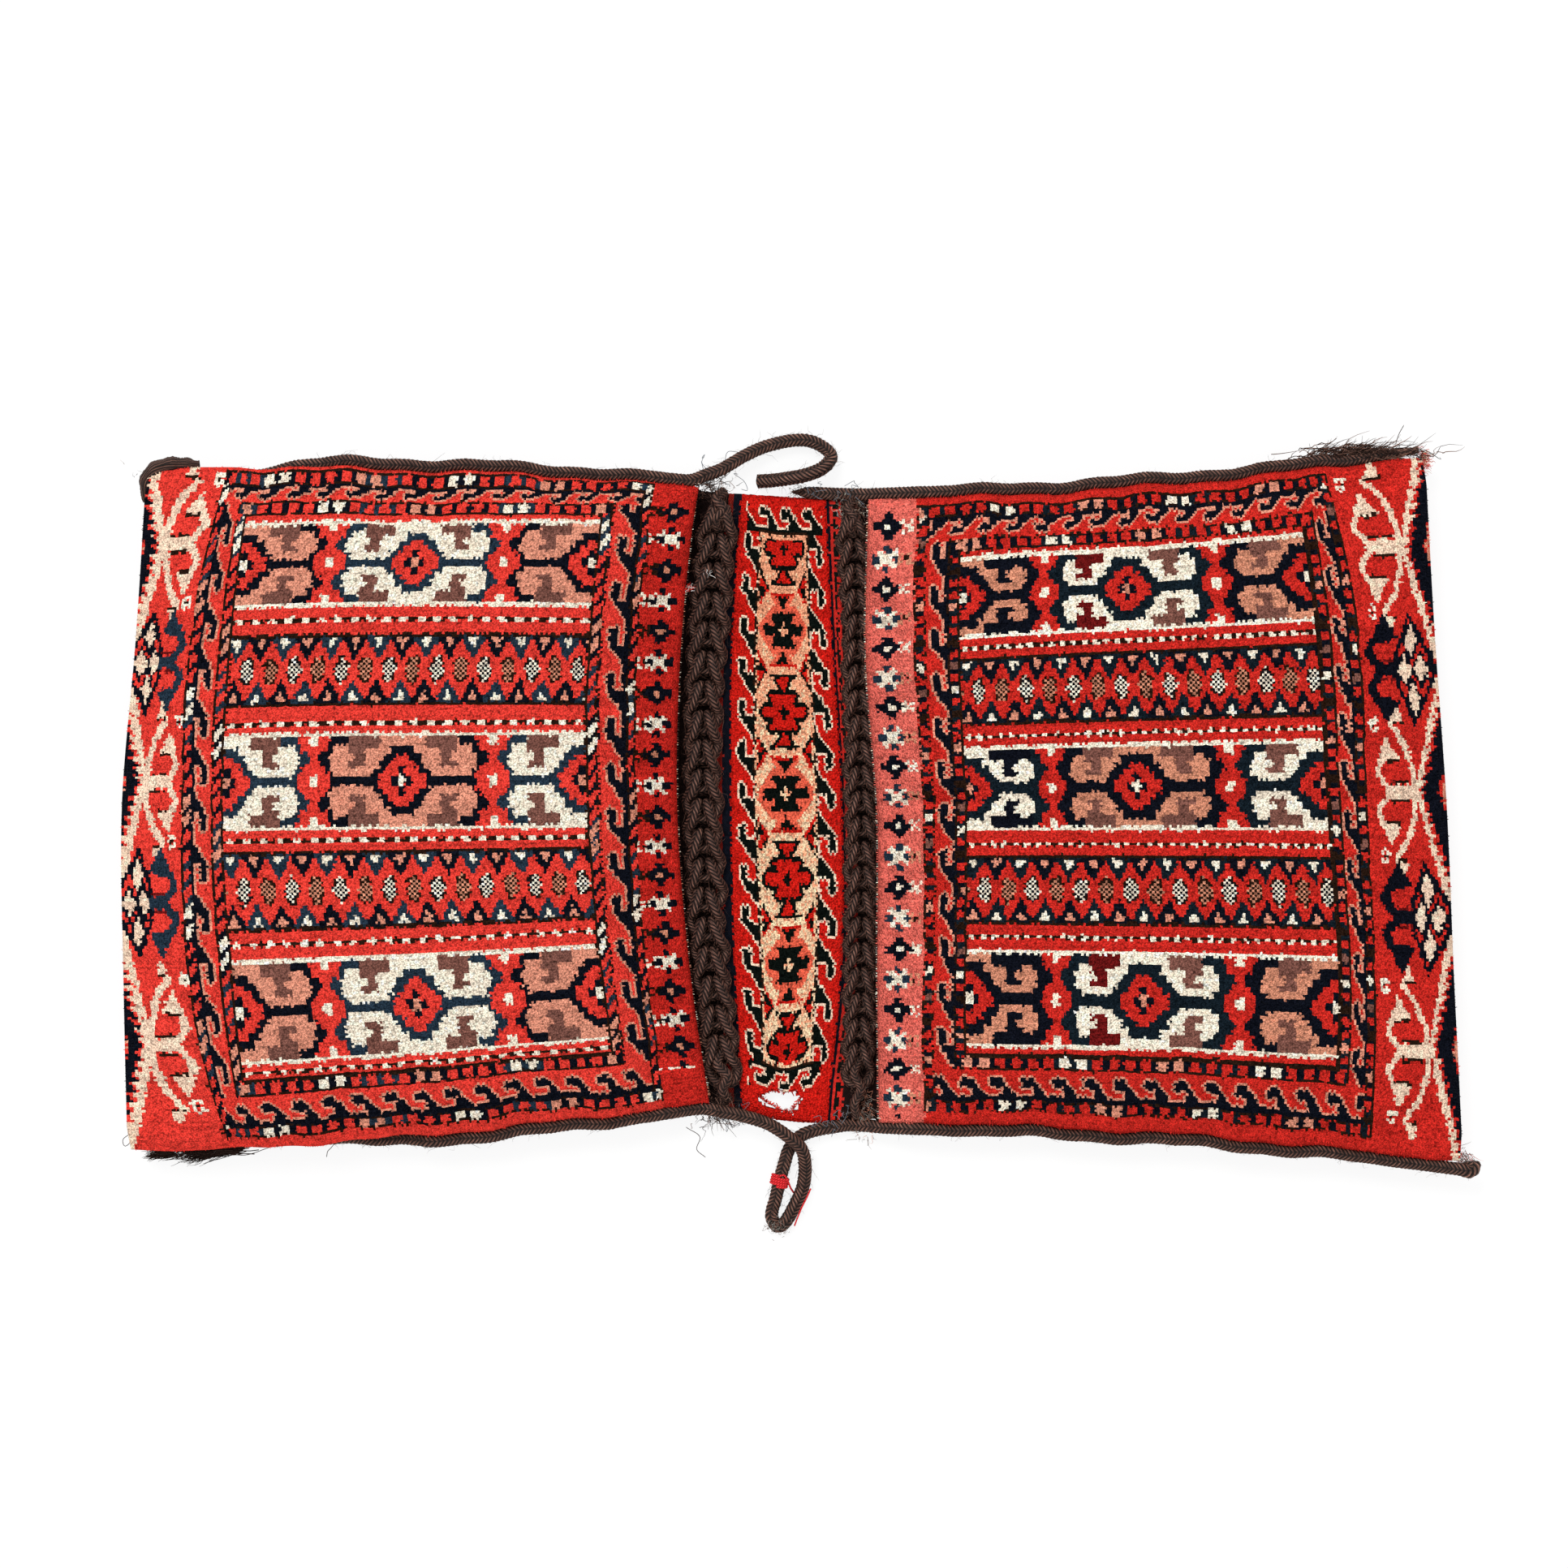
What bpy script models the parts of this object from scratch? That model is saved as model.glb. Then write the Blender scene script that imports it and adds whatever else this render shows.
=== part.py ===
"""A pair of knotted-pile saddle bags joined by a bridge, lying face up and laced shut.

The cloth is one woven strip: it folds up over itself at both ends to make two pouches, and its
middle is the bridge that lies over the animal's back. Each pouch mouth is shut by a chain of
goat-hair loops. Each loop comes up through the bight of the one before it, folds over that bight
and lies down round the next. A plaited goat-hair cord is sewn along the side edges.

Metres. X runs along the bag, Y across it and Z up. The bag rests on Z = 0, centred on the origin.
"""

import bmesh
import bpy
import numpy as np
from mathutils import Vector

# Plan of the two pouches. A line across the bag has its x at the +Y edge, the middle and the -Y edge.
LEFT_END_X = (-0.538, -0.5585, -0.554)
LEFT_MOUTH_X = (-0.084, -0.098, -0.079)
RIGHT_MOUTH_X = (0.058, 0.066, 0.062)
RIGHT_END_X = (0.513, 0.530, 0.546)

# A line along the bag has its y at the outer end, the middle and the mouth of the pouch.
LEFT_TOP_Y = (0.279, 0.277, 0.264)
LEFT_BOTTOM_Y = (-0.281, -0.267, -0.240)
RIGHT_TOP_Y = (0.290, 0.264, 0.2536)
RIGHT_BOTTOM_Y = (-0.2905, -0.2655, -0.2565)
NOMINAL_WIDTH = 0.550  # across a pouch, which the woven bands are laid out in

# The bridge's side edges between the mouths, as y at its left edge, middle and right edge.
BRIDGE_TOP_Y = (0.262, 0.257, 0.2535)
BRIDGE_BOTTOM_Y = (-0.240, -0.257, -0.2545)

# Heights
CROWN = 0.092  # of a stuffed pouch
SEAM_HEIGHT = 0.030  # middle of the sewn side edge of a pouch
LIP_HEIGHT = 0.027  # top of the closed mouth
CLOTH = 0.008  # two thicknesses of cloth, as at the side seams
BACK_PANEL = 0.007  # the back where the closure chains lie on it
BRIDGE_PILE = 0.011  # top of the knotted strip on the bridge
UNDER_RUN = 0.046  # the underside leaves the floor this far inside the seam
SHOULDERS = (0.005, 0.014, 0.030)  # rounded edge of the pouch, in from the seam
LIP_ROLL = 0.012  # rounded lip, in from the mouth
MOUTH_SLOPE = 0.100  # the seam comes down to the lip over this length
LIP_STEP = 0.0015  # plan width of the overcast mouth edge, where it drops to the back panel

# Woven layout of a face, across the bag from its middle and along it from the mouth.
FIELD_CENTRE_Y = 0.022
MEDALLION_BAND = 0.077
GUARD_BAND = 0.021
DIAMOND_BAND = 0.058
FLOWER_STRIP = 0.038
SIDE_BORDER = 0.034
END_PANEL = 0.075
FIELD_COLUMNS = 5
FIELD_START = 4  # number of the column where the field starts, after the mouth, lip and flower strip
FIELD_YARNS = ("cream_pile", "red_pile", "rose_pile", "red_pile", "cream_pile",
               "red_pile", "rose_pile", "red_pile", "cream_pile")  # its bands, from the -Y side

# Goat-hair cords
EDGE_CORD = 0.0115
LEFT_LOOP_CORD = 0.0076
RIGHT_LOOP_CORD = 0.0065
LOOP_PITCH = 3.2  # in cord diameters
CLEARANCE = 0.0003
LOOP_CLEARANCE = 0.0005
CHAIN_MARGIN = 0.007  # bare back panel past each end of a chain
TUCK = 0.009  # how far under the seam a hidden stretch of edge cord lies
SEAM_CLEARANCE = 0.0008  # between an edge cord and the seam it is sewn to
CORD_STEP = 1.6  # length of a segment of an edge cord, in cord diameters
LOOSE_STEP = 0.85  # and of the loose end
LOOP_STEP = 0.6  # and of the carrying loop, which turns more sharply
EVENED = 0.025  # reach over which an edge cord evens out the height of the seam
CORNER_INSET = 0.012  # an edge cord stops this far short of the corner of its pouch
RIGHT_TOP_START = 0.004  # x of the end of the right pouch's +Y cord, beside the bridge
LEFT_TOP_HIDDEN = (-0.460, -0.360)  # x where the +Y cord is wholly hidden and where it comes out
LEFT_BOTTOM_HIDDEN = (-0.400, -0.300)

# The worn hole at the -Y end of the bridge, as its outline in plan.
WORN_HOLE = [(-0.0350, -0.2345), (-0.0210, -0.2320), (-0.0090, -0.2325), (0.0010, -0.2375),
             (-0.0020, -0.2440), (-0.0095, -0.2515), (-0.0180, -0.2475), (-0.0275, -0.2400)]

# Route of the loose end at the +Y side, from the seam of the left pouch to its cut end.
LOOSE_END_ROUTE = [(-0.0790, 0.2745, 0.0190), (-0.0650, 0.2800, 0.0160), (-0.0450, 0.2920, 0.0110),
                   (-0.0270, 0.3000, 0.0075), (0.0000, 0.3050, 0.0063), (0.0140, 0.3020, 0.0066),
                   (0.0255, 0.2920, 0.0095), (0.0195, 0.2820, 0.0150), (0.0070, 0.2758, 0.0180),
                   (-0.0100, 0.2725, 0.0150), (-0.0230, 0.2712, 0.0098), (-0.0350, 0.2707, 0.0066)]

# Route of the carrying loop at the -Y side, from the left seam, over itself and back.
CARRY_LOOP_ROUTE = [(-0.0680, -0.2485, 0.0190), (-0.0500, -0.2520, 0.0187), (-0.0270, -0.2590, 0.0182),
                    (-0.0110, -0.2690, 0.0182), (0.0010, -0.2800, 0.0150), (0.0040, -0.2960, 0.0088),
                    (0.0020, -0.3130, 0.0062), (-0.0050, -0.3290, 0.0060), (-0.0125, -0.3415, 0.0060),
                    (-0.0185, -0.3450, 0.0060), (-0.0235, -0.3370, 0.0062), (-0.0200, -0.3210, 0.0072),
                    (-0.0165, -0.3050, 0.0080), (-0.0130, -0.2930, 0.0076), (-0.0085, -0.2800, 0.0062),
                    (0.0010, -0.2700, 0.0062), (0.0150, -0.2650, 0.0062), (0.0270, -0.2630, 0.0062)]
YARN = 0.0018
YARN_TURNS = 3
YARN_SHARE = 0.735  # place of the yarn tie along the carrying loop
BEAD = 0.0062  # half the width of the knot that ends the -Y cord of the right pouch

LEFT, RIGHT = -1, 1
TOP, BOTTOM = 1, -1

COLOURS = {
    "red_pile": ((0.60, 0.055, 0.038), 0.95),
    "cream_pile": ((0.78, 0.66, 0.47), 0.95),
    "dark_pile": ((0.012, 0.016, 0.026), 0.95),
    "rose_pile": ((0.70, 0.16, 0.12), 0.95),
    "madder_pile": ((0.42, 0.03, 0.022), 0.95),
    "back_weave": ((0.30, 0.03, 0.025), 0.9),
    "goat_hair": ((0.035, 0.020, 0.016), 0.75),
    "red_yarn": ((0.55, 0.03, 0.035), 0.85),
}


def material(name):
    """The finish of one yarn, made once."""
    found = bpy.data.materials.get(name)
    if found:
        return found
    colour, roughness = COLOURS[name]
    made = bpy.data.materials.new(name)
    made.use_nodes = True
    shader = made.node_tree.nodes["Principled BSDF"]
    shader.inputs["Base Color"].default_value = (*colour, 1.0)
    shader.inputs["Roughness"].default_value = roughness
    shader.inputs["Metallic"].default_value = 0.0
    return made


def clear_scene():
    for thing in list(bpy.data.objects):
        bpy.data.objects.remove(thing, do_unlink=True)


def curve_through(values, t):
    """The quadratic that has the three values at t = 0, 0.5 and 1."""
    start, middle, end = values
    return (start * (1 - t) * (1 - 2 * t)) + (middle * 4 * t * (1 - t)) + (end * t * (2 * t - 1))


def smooth_route(points, spacing):
    """A centripetal Catmull-Rom curve through the points, read at even steps."""
    p = np.array(points, float)
    p = np.vstack([2 * p[0] - p[1], p, 2 * p[-1] - p[-2]])
    knots = np.concatenate([[0.0], np.cumsum(np.sqrt(np.linalg.norm(np.diff(p, axis=0), axis=1)))])
    fine = []
    for i in range(1, len(p) - 2):
        t = np.linspace(knots[i], knots[i + 1], 24, endpoint=i == len(p) - 3)[:, None]
        k0, k1, k2, k3 = knots[i - 1:i + 3]
        a1 = ((k1 - t) * p[i - 1] + (t - k0) * p[i]) / (k1 - k0)
        a2 = ((k2 - t) * p[i] + (t - k1) * p[i + 1]) / (k2 - k1)
        a3 = ((k3 - t) * p[i + 1] + (t - k2) * p[i + 2]) / (k3 - k2)
        b1 = ((k2 - t) * a1 + (t - k0) * a2) / (k2 - k0)
        b2 = ((k3 - t) * a2 + (t - k1) * a3) / (k3 - k1)
        fine.append(((k2 - t) * b1 + (t - k1) * b2) / (k2 - k1))
    fine = np.vstack(fine)
    along = np.concatenate([[0.0], np.cumsum(np.linalg.norm(np.diff(fine, axis=0), axis=1))])
    count = max(4, int(round(along[-1] / spacing)))
    at = np.linspace(0.0, along[-1], count + 1)
    return np.column_stack([np.interp(at, along, fine[:, k]) for k in range(3)])


def tube(name, points, diameter, sides_step, finish, radii=None):
    """A cord: a straight-segment spline with a round bevel and closed ends."""
    data = bpy.data.curves.new(name, "CURVE")
    data.dimensions = "3D"
    data.bevel_depth = diameter / 2
    data.bevel_resolution = sides_step
    data.use_fill_caps = True
    data.twist_mode = "MINIMUM"
    spline = data.splines.new("POLY")
    spline.points.add(len(points) - 1)
    spline.points.foreach_set("co", np.column_stack([points, np.ones(len(points))]).ravel())
    if radii is not None:
        spline.points.foreach_set("radius", radii)
    data.materials.append(material(finish))
    made = bpy.data.objects.new(name, data)
    bpy.context.collection.objects.link(made)
    return made


def chain_cord(side):
    return LEFT_LOOP_CORD if side == LEFT else RIGHT_LOOP_CORD


def bight_radius(side):
    """A bight goes round the two legs of the next loop, so its centre line is 1.5 cords out."""
    return 1.5 * chain_cord(side) + LOOP_CLEARANCE


def chain_half_width(side):
    return bight_radius(side) + chain_cord(side) / 2


def mouth_line(side):
    return LEFT_MOUTH_X if side == LEFT else RIGHT_MOUTH_X


def chain_line(side):
    """The chain lies beside the mouth, on the back panel between it and the bridge."""
    inward = side * (chain_half_width(side) + LOOP_CLEARANCE + LIP_STEP)
    return tuple(x - inward for x in mouth_line(side))


def bridge_edge(side):
    """The knotted strip of the bridge starts where the chain ends."""
    inward = side * (chain_half_width(side) + LOOP_CLEARANCE + LIP_STEP)
    return tuple(x - inward for x in chain_line(side))


def end_line(side):
    return LEFT_END_X if side == LEFT else RIGHT_END_X


def edge_values(side, edge):
    """y of a pouch's side edge at its mouth, middle and end."""
    chosen = {(LEFT, TOP): LEFT_TOP_Y, (LEFT, BOTTOM): LEFT_BOTTOM_Y,
              (RIGHT, TOP): RIGHT_TOP_Y, (RIGHT, BOTTOM): RIGHT_BOTTOM_Y}[side, edge]
    return chosen[::-1]


def pouch_columns(side):
    """Places of the cloth's columns from the mouth to the end, as distances and as shares."""
    length = abs(end_line(side)[1] - mouth_line(side)[1])
    field_start = LIP_ROLL + FLOWER_STRIP + SIDE_BORDER
    field_end = length - END_PANEL - SIDE_BORDER
    at = [0.0, LIP_ROLL / 3, LIP_ROLL, LIP_ROLL + FLOWER_STRIP]
    at += list(np.linspace(field_start, field_end, FIELD_COLUMNS + 1))
    at += [length - END_PANEL, length - END_PANEL / 2]
    at += [length - s for s in SHOULDERS[::-1]] + [length]
    return np.array(at) / length, length


def cloth_rows():
    """Shares across the bag of the rows of the cloth, from the -Y edge to the +Y edge."""
    half = MEDALLION_BAND / 2
    steps = np.cumsum([half, GUARD_BAND, DIAMOND_BAND, GUARD_BAND, MEDALLION_BAND])
    bands = np.concatenate([FIELD_CENTRE_Y - steps[::-1], FIELD_CENTRE_Y + steps]) / NOMINAL_WIDTH + 0.5
    edges = np.array([0.0, *SHOULDERS, UNDER_RUN]) / NOMINAL_WIDTH
    return np.sort(np.concatenate([edges, bands, 1 - edges])), bands


def pouch_profile(a, v, length):
    """Heights of the upper and lower cloth of a pouch at share a from the mouth and v across.

    Upper: a crown that falls to the seam like a superellipse on the sides and the end, and like
    a softer one at the mouth. Lower: flat on the floor, then a straight rise to the seam.
    """
    near_mouth = np.clip(1 - a * length / MOUTH_SLOPE, 0, 1) ** 2
    seam = SEAM_HEIGHT + (LIP_HEIGHT - CLOTH / 2 - SEAM_HEIGHT) * near_mouth
    side = np.clip(1 - np.abs(2 * v - 1) ** 3.0, 0, 1) ** 0.5
    past = np.clip((a - 0.45) / 0.55, 0, 1)
    end = np.clip(1 - past ** 3.2, 0, 1) ** 0.5
    before = np.clip(1 - a / 0.45, 0, 1)
    mouth = np.clip(1 - before ** 2.4, 0, 1) ** 0.6
    upper = seam + CLOTH / 2 + (CROWN - SEAM_HEIGHT - CLOTH / 2) * side * end * mouth
    from_side = np.minimum(v, 1 - v) * NOMINAL_WIDTH
    from_end = (1 - a) * length
    rise = np.clip(1 - np.minimum(from_side, from_end) / UNDER_RUN, 0, 1)
    return upper, (seam - CLOTH / 2) * rise


def side_edge(edge):
    """The column places of one side edge from end to end: (x, y, seam height) at each."""
    v = 1.0 if edge == TOP else 0.0
    grid = cloth_grid(np.array([v]))
    return np.column_stack([grid["x"][:, 0], grid["y"][:, 0], (grid["upper"] + grid["lower"])[:, 0] / 2])


def cloth_grid(v):
    """The whole strip as columns from the left end to the right end and rows at the shares v."""
    x, y, upper, lower, kind = [], [], [], [], []

    def column(line, top, bottom, high, low, what):
        x.append(curve_through(line[::-1], v))
        y.append(bottom + (top - bottom) * v)
        upper.append(high)
        lower.append(low)
        kind.append(what)

    def pouch(side):
        shares, length = pouch_columns(side)
        columns = list(enumerate(shares))
        for n, a in columns[::-1] if side == LEFT else columns:
            line = tuple(m + (e - m) * a for m, e in zip(mouth_line(side), end_line(side)))
            top, bottom = (curve_through(edge_values(side, e), a) for e in (TOP, BOTTOM))
            high, low = pouch_profile(a, v, length)
            column(line, top, bottom, high, low, ("pouch", side, n))

    def between(line, share, high, what):
        top, bottom = (bridge_side(e, share) for e in (TOP, BOTTOM))
        column(line, top, bottom, np.full(len(v), high), np.zeros(len(v)), (what, 0, 0))

    left, right = bridge_edge(LEFT), bridge_edge(RIGHT)
    left_lip = tuple(m + LIP_STEP for m in LEFT_MOUTH_X)
    right_lip = tuple(m - LIP_STEP for m in RIGHT_MOUTH_X)
    pouch(LEFT)
    between(left_lip, 0.0, BACK_PANEL, "trough")
    between(left, 0.0, BACK_PANEL, "trough")
    between(tuple(e + LIP_STEP for e in left), 0.02, BRIDGE_PILE, "bridge")
    for share in (0.25, 0.5, 0.75):
        line = tuple(a + (b - a) * share for a, b in zip(left, right))
        between(line, share, BRIDGE_PILE, "bridge")
    between(tuple(e - LIP_STEP for e in right), 0.98, BRIDGE_PILE, "bridge")
    between(right, 1.0, BACK_PANEL, "trough")
    between(right_lip, 1.0, BACK_PANEL, "trough")
    pouch(RIGHT)
    return {"x": np.array(x), "y": np.array(y), "upper": np.array(upper),
            "lower": np.array(lower), "kind": kind}


def bridge_side(edge, share):
    return curve_through(BRIDGE_TOP_Y if edge == TOP else BRIDGE_BOTTOM_Y, share)


def cell_finish(kind, low, high, bands):
    """The yarn of a cell of the upper cloth, from its inner column and the rows it lies between."""
    what, _, n = kind
    after_field = FIELD_START + FIELD_COLUMNS
    if what == "bridge":
        return "madder_pile"
    if what == "trough":
        return "back_weave"
    middle = (low + high) / 2
    inside = bands[0] < middle < bands[-1]
    if inside and FIELD_START <= n < after_field:
        return FIELD_YARNS[int(np.searchsorted(bands, middle)) - 1]
    edge = SHOULDERS[1] / NOMINAL_WIDTH
    in_border = FIELD_START - 1 <= n <= after_field and edge < middle < 1 - edge
    return "dark_pile" if in_border else "red_pile"


def make_bag_cloth():
    """Two pouches and the bridge between them, as one closed skin over a regular grid."""
    rows, bands = cloth_rows()
    grid = cloth_grid(rows)
    columns, across = grid["x"].shape
    count = columns * across
    points = np.vstack([
        np.column_stack([grid["x"].ravel(), grid["y"].ravel(), grid[level].ravel()])
        for level in ("upper", "lower")])
    index = np.arange(count).reshape(columns, across)
    quads = np.stack([index[:-1, :-1], index[1:, :-1], index[1:, 1:], index[:-1, 1:]], -1).reshape(-1, 4)
    ring = np.concatenate([index[:, 0], index[-1, 1:], index[-2::-1, -1], index[0, -2:0:-1]])
    after = np.roll(ring, -1)
    walls = np.column_stack([ring, ring + count, after + count, after])
    faces = np.vstack([quads, quads[:, ::-1] + count, walls])
    mesh = bpy.data.meshes.new("bag_cloth")
    mesh.from_pydata(points.tolist(), [], faces.tolist())
    names = list(COLOURS)
    for name in names[:6]:
        mesh.materials.append(material(name))
    inner = [grid["kind"][i + 1 if grid["kind"][i][1] == LEFT else i] for i in range(columns - 1)]
    chosen = [names.index(cell_finish(kind, rows[j], rows[j + 1], bands))
              for kind in inner for j in range(across - 1)]
    back = names.index("back_weave")
    mesh.polygons.foreach_set("material_index", chosen + [back] * (len(faces) - len(chosen)))
    mesh.shade_smooth()
    cloth = bpy.data.objects.new("bag_cloth", mesh)
    bpy.context.collection.objects.link(cloth)
    recalculate(mesh)
    cut(cloth, make_hole_cutter())
    return cloth


def recalculate(mesh):
    shape = bmesh.new()
    shape.from_mesh(mesh)
    bmesh.ops.recalc_face_normals(shape, faces=shape.faces)
    shape.to_mesh(mesh)
    shape.free()
    mesh.set_sharp_from_angle(angle=np.radians(50))


def make_hole_cutter():
    """A prism with the worn hole's outline, through the bridge."""
    shape = bmesh.new()
    low, high = -BACK_PANEL, 2 * BRIDGE_PILE
    outline = [shape.verts.new((x, y, low)) for x, y in WORN_HOLE]
    face = shape.faces.new(outline)
    raised = bmesh.ops.extrude_face_region(shape, geom=[face])
    moved = [v for v in raised["geom"] if isinstance(v, bmesh.types.BMVert)]
    bmesh.ops.translate(shape, verts=moved, vec=Vector((0, 0, high - low)))
    bmesh.ops.recalc_face_normals(shape, faces=shape.faces)
    mesh = bpy.data.meshes.new("worn_hole_cutter")
    shape.to_mesh(mesh)
    shape.free()
    cutter = bpy.data.objects.new("worn_hole_cutter", mesh)
    bpy.context.collection.objects.link(cutter)
    cutter.hide_render = True
    cutter.display_type = "WIRE"
    return cutter


def cut(body, cutter):
    hole = body.modifiers.new("worn_hole", "BOOLEAN")
    hole.operation = "DIFFERENCE"
    hole.solver = "EXACT"
    hole.object = cutter


def loop_profile(d, w, rest):
    """Half of one closure loop, from its foot to its bight, in its own axes.

    a runs along the chain, b across it and c up. The foot stands in the bight of the loop before,
    the leg folds over that bight, comes down and spreads, and the bight is a half circle of
    radius w round the foot of the next loop.
    """
    pitch = LOOP_PITCH * d
    over = rest + d + LOOP_CLEARANCE
    foot = d / 2 + LOOP_CLEARANCE / 2
    leg = [(0.0, foot, CLEARANCE),
           (0.08 * d, foot, rest + 0.78 * d),
           (0.90 * d, 0.78 * d, over + 0.06 * d),
           (1.85 * d, 1.10 * d, over),
           (2.80 * d, w, rest + 0.12 * d),
           (pitch, w, rest)]
    turn = np.radians(45)
    leg.append((pitch + w * np.sin(turn), w * np.cos(turn), rest))
    leg.append((pitch + w, 0.0, rest))
    return np.array(leg)


def make_chain(side, name):
    """The closure loops of one mouth, from the +Y end to the -Y end."""
    d = chain_cord(side)
    w = bight_radius(side)
    line = chain_line(side)
    share = 0.0 if side == LEFT else 1.0
    high = bridge_side(TOP, share) - CHAIN_MARGIN - d
    low = bridge_side(BOTTOM, share) + CHAIN_MARGIN
    half = loop_profile(d, w, CLEARANCE + d / 2)
    path = np.vstack([half, (half * (1, -1, 1))[-2::-1]])
    reach = half[-1, 0] + d / 2
    pitch = LOOP_PITCH * d
    count = int((high - low - reach) / pitch) + 1
    for n in range(count):
        y = high - n * pitch - path[:, 0]
        x = curve_through(line[::-1], (y - low) / (high - low)) + path[:, 1]
        points = np.column_stack([x, y, BACK_PANEL + path[:, 2]])
        tube(f"{name}_closure_loop_{n + 1:02d}", points, d, 1, "goat_hair")


def edge_route(edge, start_x, end_x, hidden=((-1.0, 0.0), (1.0, 0.0))):
    """The line of a sewn cord along a side edge, between two places along the bag.

    Its centre lies a cord's radius and a clearance out from the seam. Where it is hidden, it turns
    down round the lower corner of the seam and then slides in under the pouch. Its height follows
    the seam, evened out over a short length.
    """
    rim = side_edge(edge)
    step = np.sign(end_x - start_x) * CORD_STEP * EDGE_CORD
    x = np.append(np.arange(start_x, end_x - step / 2, step), end_x)
    y = np.interp(x, rim[:, 0], rim[:, 1])
    near = x[:, None] + np.linspace(-EVENED, EVENED, 9)[None, :]
    z = np.interp(near, rim[:, 0], rim[:, 2]).mean(axis=1)
    reach = EDGE_CORD / 2 + SEAM_CLEARANCE
    k = np.interp(x, [place for place, _ in hidden], [share for _, share in hidden])
    slope = np.arctan2(SEAM_HEIGHT - CLOTH / 2, UNDER_RUN)
    angle = np.clip(2 * k, 0, 1) * (np.pi / 2 - slope)
    slide = np.clip(2 * k - 1, 0, 1) * TUCK
    corner = CLOTH / 2 * np.clip(4 * k, 0, 1)
    out = reach * np.cos(angle) - slide * np.cos(slope)
    down = reach * np.sin(angle) + slide * np.sin(slope) + corner
    return np.column_stack([x, y + edge * out, np.maximum(z - down, reach)])


def lead_in(end, following):
    """Two points in line with the end of a free cord, for the cord that meets it face to face."""
    along = (end - following) / np.linalg.norm(end - following)
    return end + along * (CLEARANCE + EDGE_CORD), end + along * CLEARANCE


def corner_wrap():
    """The last turn of the -Y cord round the outer corner of the right pouch, as an arc."""
    x, y, z = side_edge(BOTTOM)[-1]
    reach = EDGE_CORD / 2 + SEAM_CLEARANCE
    angle = np.radians(np.array([-75.0, -45.0, -15.0, 15.0]))
    return np.column_stack([x + reach * np.cos(angle), y + reach * np.sin(angle), np.full(4, z)])


def make_edge_cords(loose_end, carry_loop):
    """The plaited cord along each side edge of each pouch, up to where it leaves the cloth."""
    step = CORD_STEP * EDGE_CORD
    far, near = lead_in(loose_end[0], loose_end[1])
    left_top = edge_route(TOP, LEFT_END_X[0] + CORNER_INSET, far[0] - step,
                          ((LEFT_TOP_HIDDEN[0], 1.0), (LEFT_TOP_HIDDEN[1], 0.0)))
    tube("top_left_edge_cord", np.vstack([left_top, far, near]), EDGE_CORD, 1, "goat_hair")
    far, near = lead_in(carry_loop[0], carry_loop[1])
    left_bottom = edge_route(BOTTOM, LEFT_END_X[2] + CORNER_INSET, far[0] - step,
                             ((LEFT_BOTTOM_HIDDEN[0], 1.0), (LEFT_BOTTOM_HIDDEN[1], 0.0)))
    tube("bottom_left_edge_cord", np.vstack([left_bottom, far, near]), EDGE_CORD, 1, "goat_hair")
    right_top = edge_route(TOP, RIGHT_TOP_START, RIGHT_END_X[0] - CORNER_INSET / 2)
    tube("top_right_edge_cord", right_top, EDGE_CORD, 1, "goat_hair")
    far, near = lead_in(carry_loop[-1], carry_loop[-2])
    right_bottom = np.vstack([edge_route(BOTTOM, far[0] + step, RIGHT_END_X[2] - CORNER_INSET / 2),
                              corner_wrap()])
    swell = np.ones(len(right_bottom) + 2)
    swell[-1] = 2 * BEAD / EDGE_CORD
    tube("bottom_right_edge_cord", np.vstack([near, far, right_bottom]), EDGE_CORD, 1, "goat_hair", swell)


def make_loose_cords(loose_end, carry_loop):
    """The cut end at the +Y side and the carrying loop at the -Y side, both free of the cloth."""
    tube("top_loose_end", loose_end, EDGE_CORD, 2, "goat_hair")
    tube("bottom_carry_loop", carry_loop, EDGE_CORD, 2, "goat_hair")


def make_yarn_tie(route):
    """A few turns of red yarn, as one ribbed band round a leg of the carrying loop."""
    at = YARN_SHARE * (len(route) - 1)
    n = int(at)
    centre = Vector(route[n] + (route[n + 1] - route[n]) * (at - n))
    axis = Vector(route[n + 1] - route[n]).normalized()
    inner = EDGE_CORD / 2 + CLEARANCE
    profile = [(-YARN_TURNS * YARN / 2, inner)]
    for turn in range(YARN_TURNS):
        middle = (turn + 0.5 - YARN_TURNS / 2) * YARN
        profile += [(middle - YARN / 3, inner + YARN * 0.75), (middle + YARN / 3, inner + YARN * 0.75)]
        profile += [(middle + YARN / 2, inner + YARN * 0.3)]
    profile[-1] = (YARN_TURNS * YARN / 2, inner)
    shape = bmesh.new()
    turns = 14
    rings = []
    side = axis.orthogonal().normalized()
    up = axis.cross(side)
    for k in range(turns):
        angle = 2 * np.pi * k / turns
        out = side * np.cos(angle) + up * np.sin(angle)
        rings.append([shape.verts.new(centre + axis * a + out * r) for a, r in profile])
    for ring, following in zip(rings, rings[1:] + rings[:1]):
        for m in range(len(profile)):
            k = (m + 1) % len(profile)
            shape.faces.new((ring[m], ring[k], following[k], following[m]))
    bmesh.ops.recalc_face_normals(shape, faces=shape.faces)
    mesh = bpy.data.meshes.new("red_yarn_tie")
    shape.to_mesh(mesh)
    shape.free()
    mesh.materials.append(material("red_yarn"))
    mesh.shade_smooth()
    tie = bpy.data.objects.new("red_yarn_tie", mesh)
    bpy.context.collection.objects.link(tie)


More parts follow.
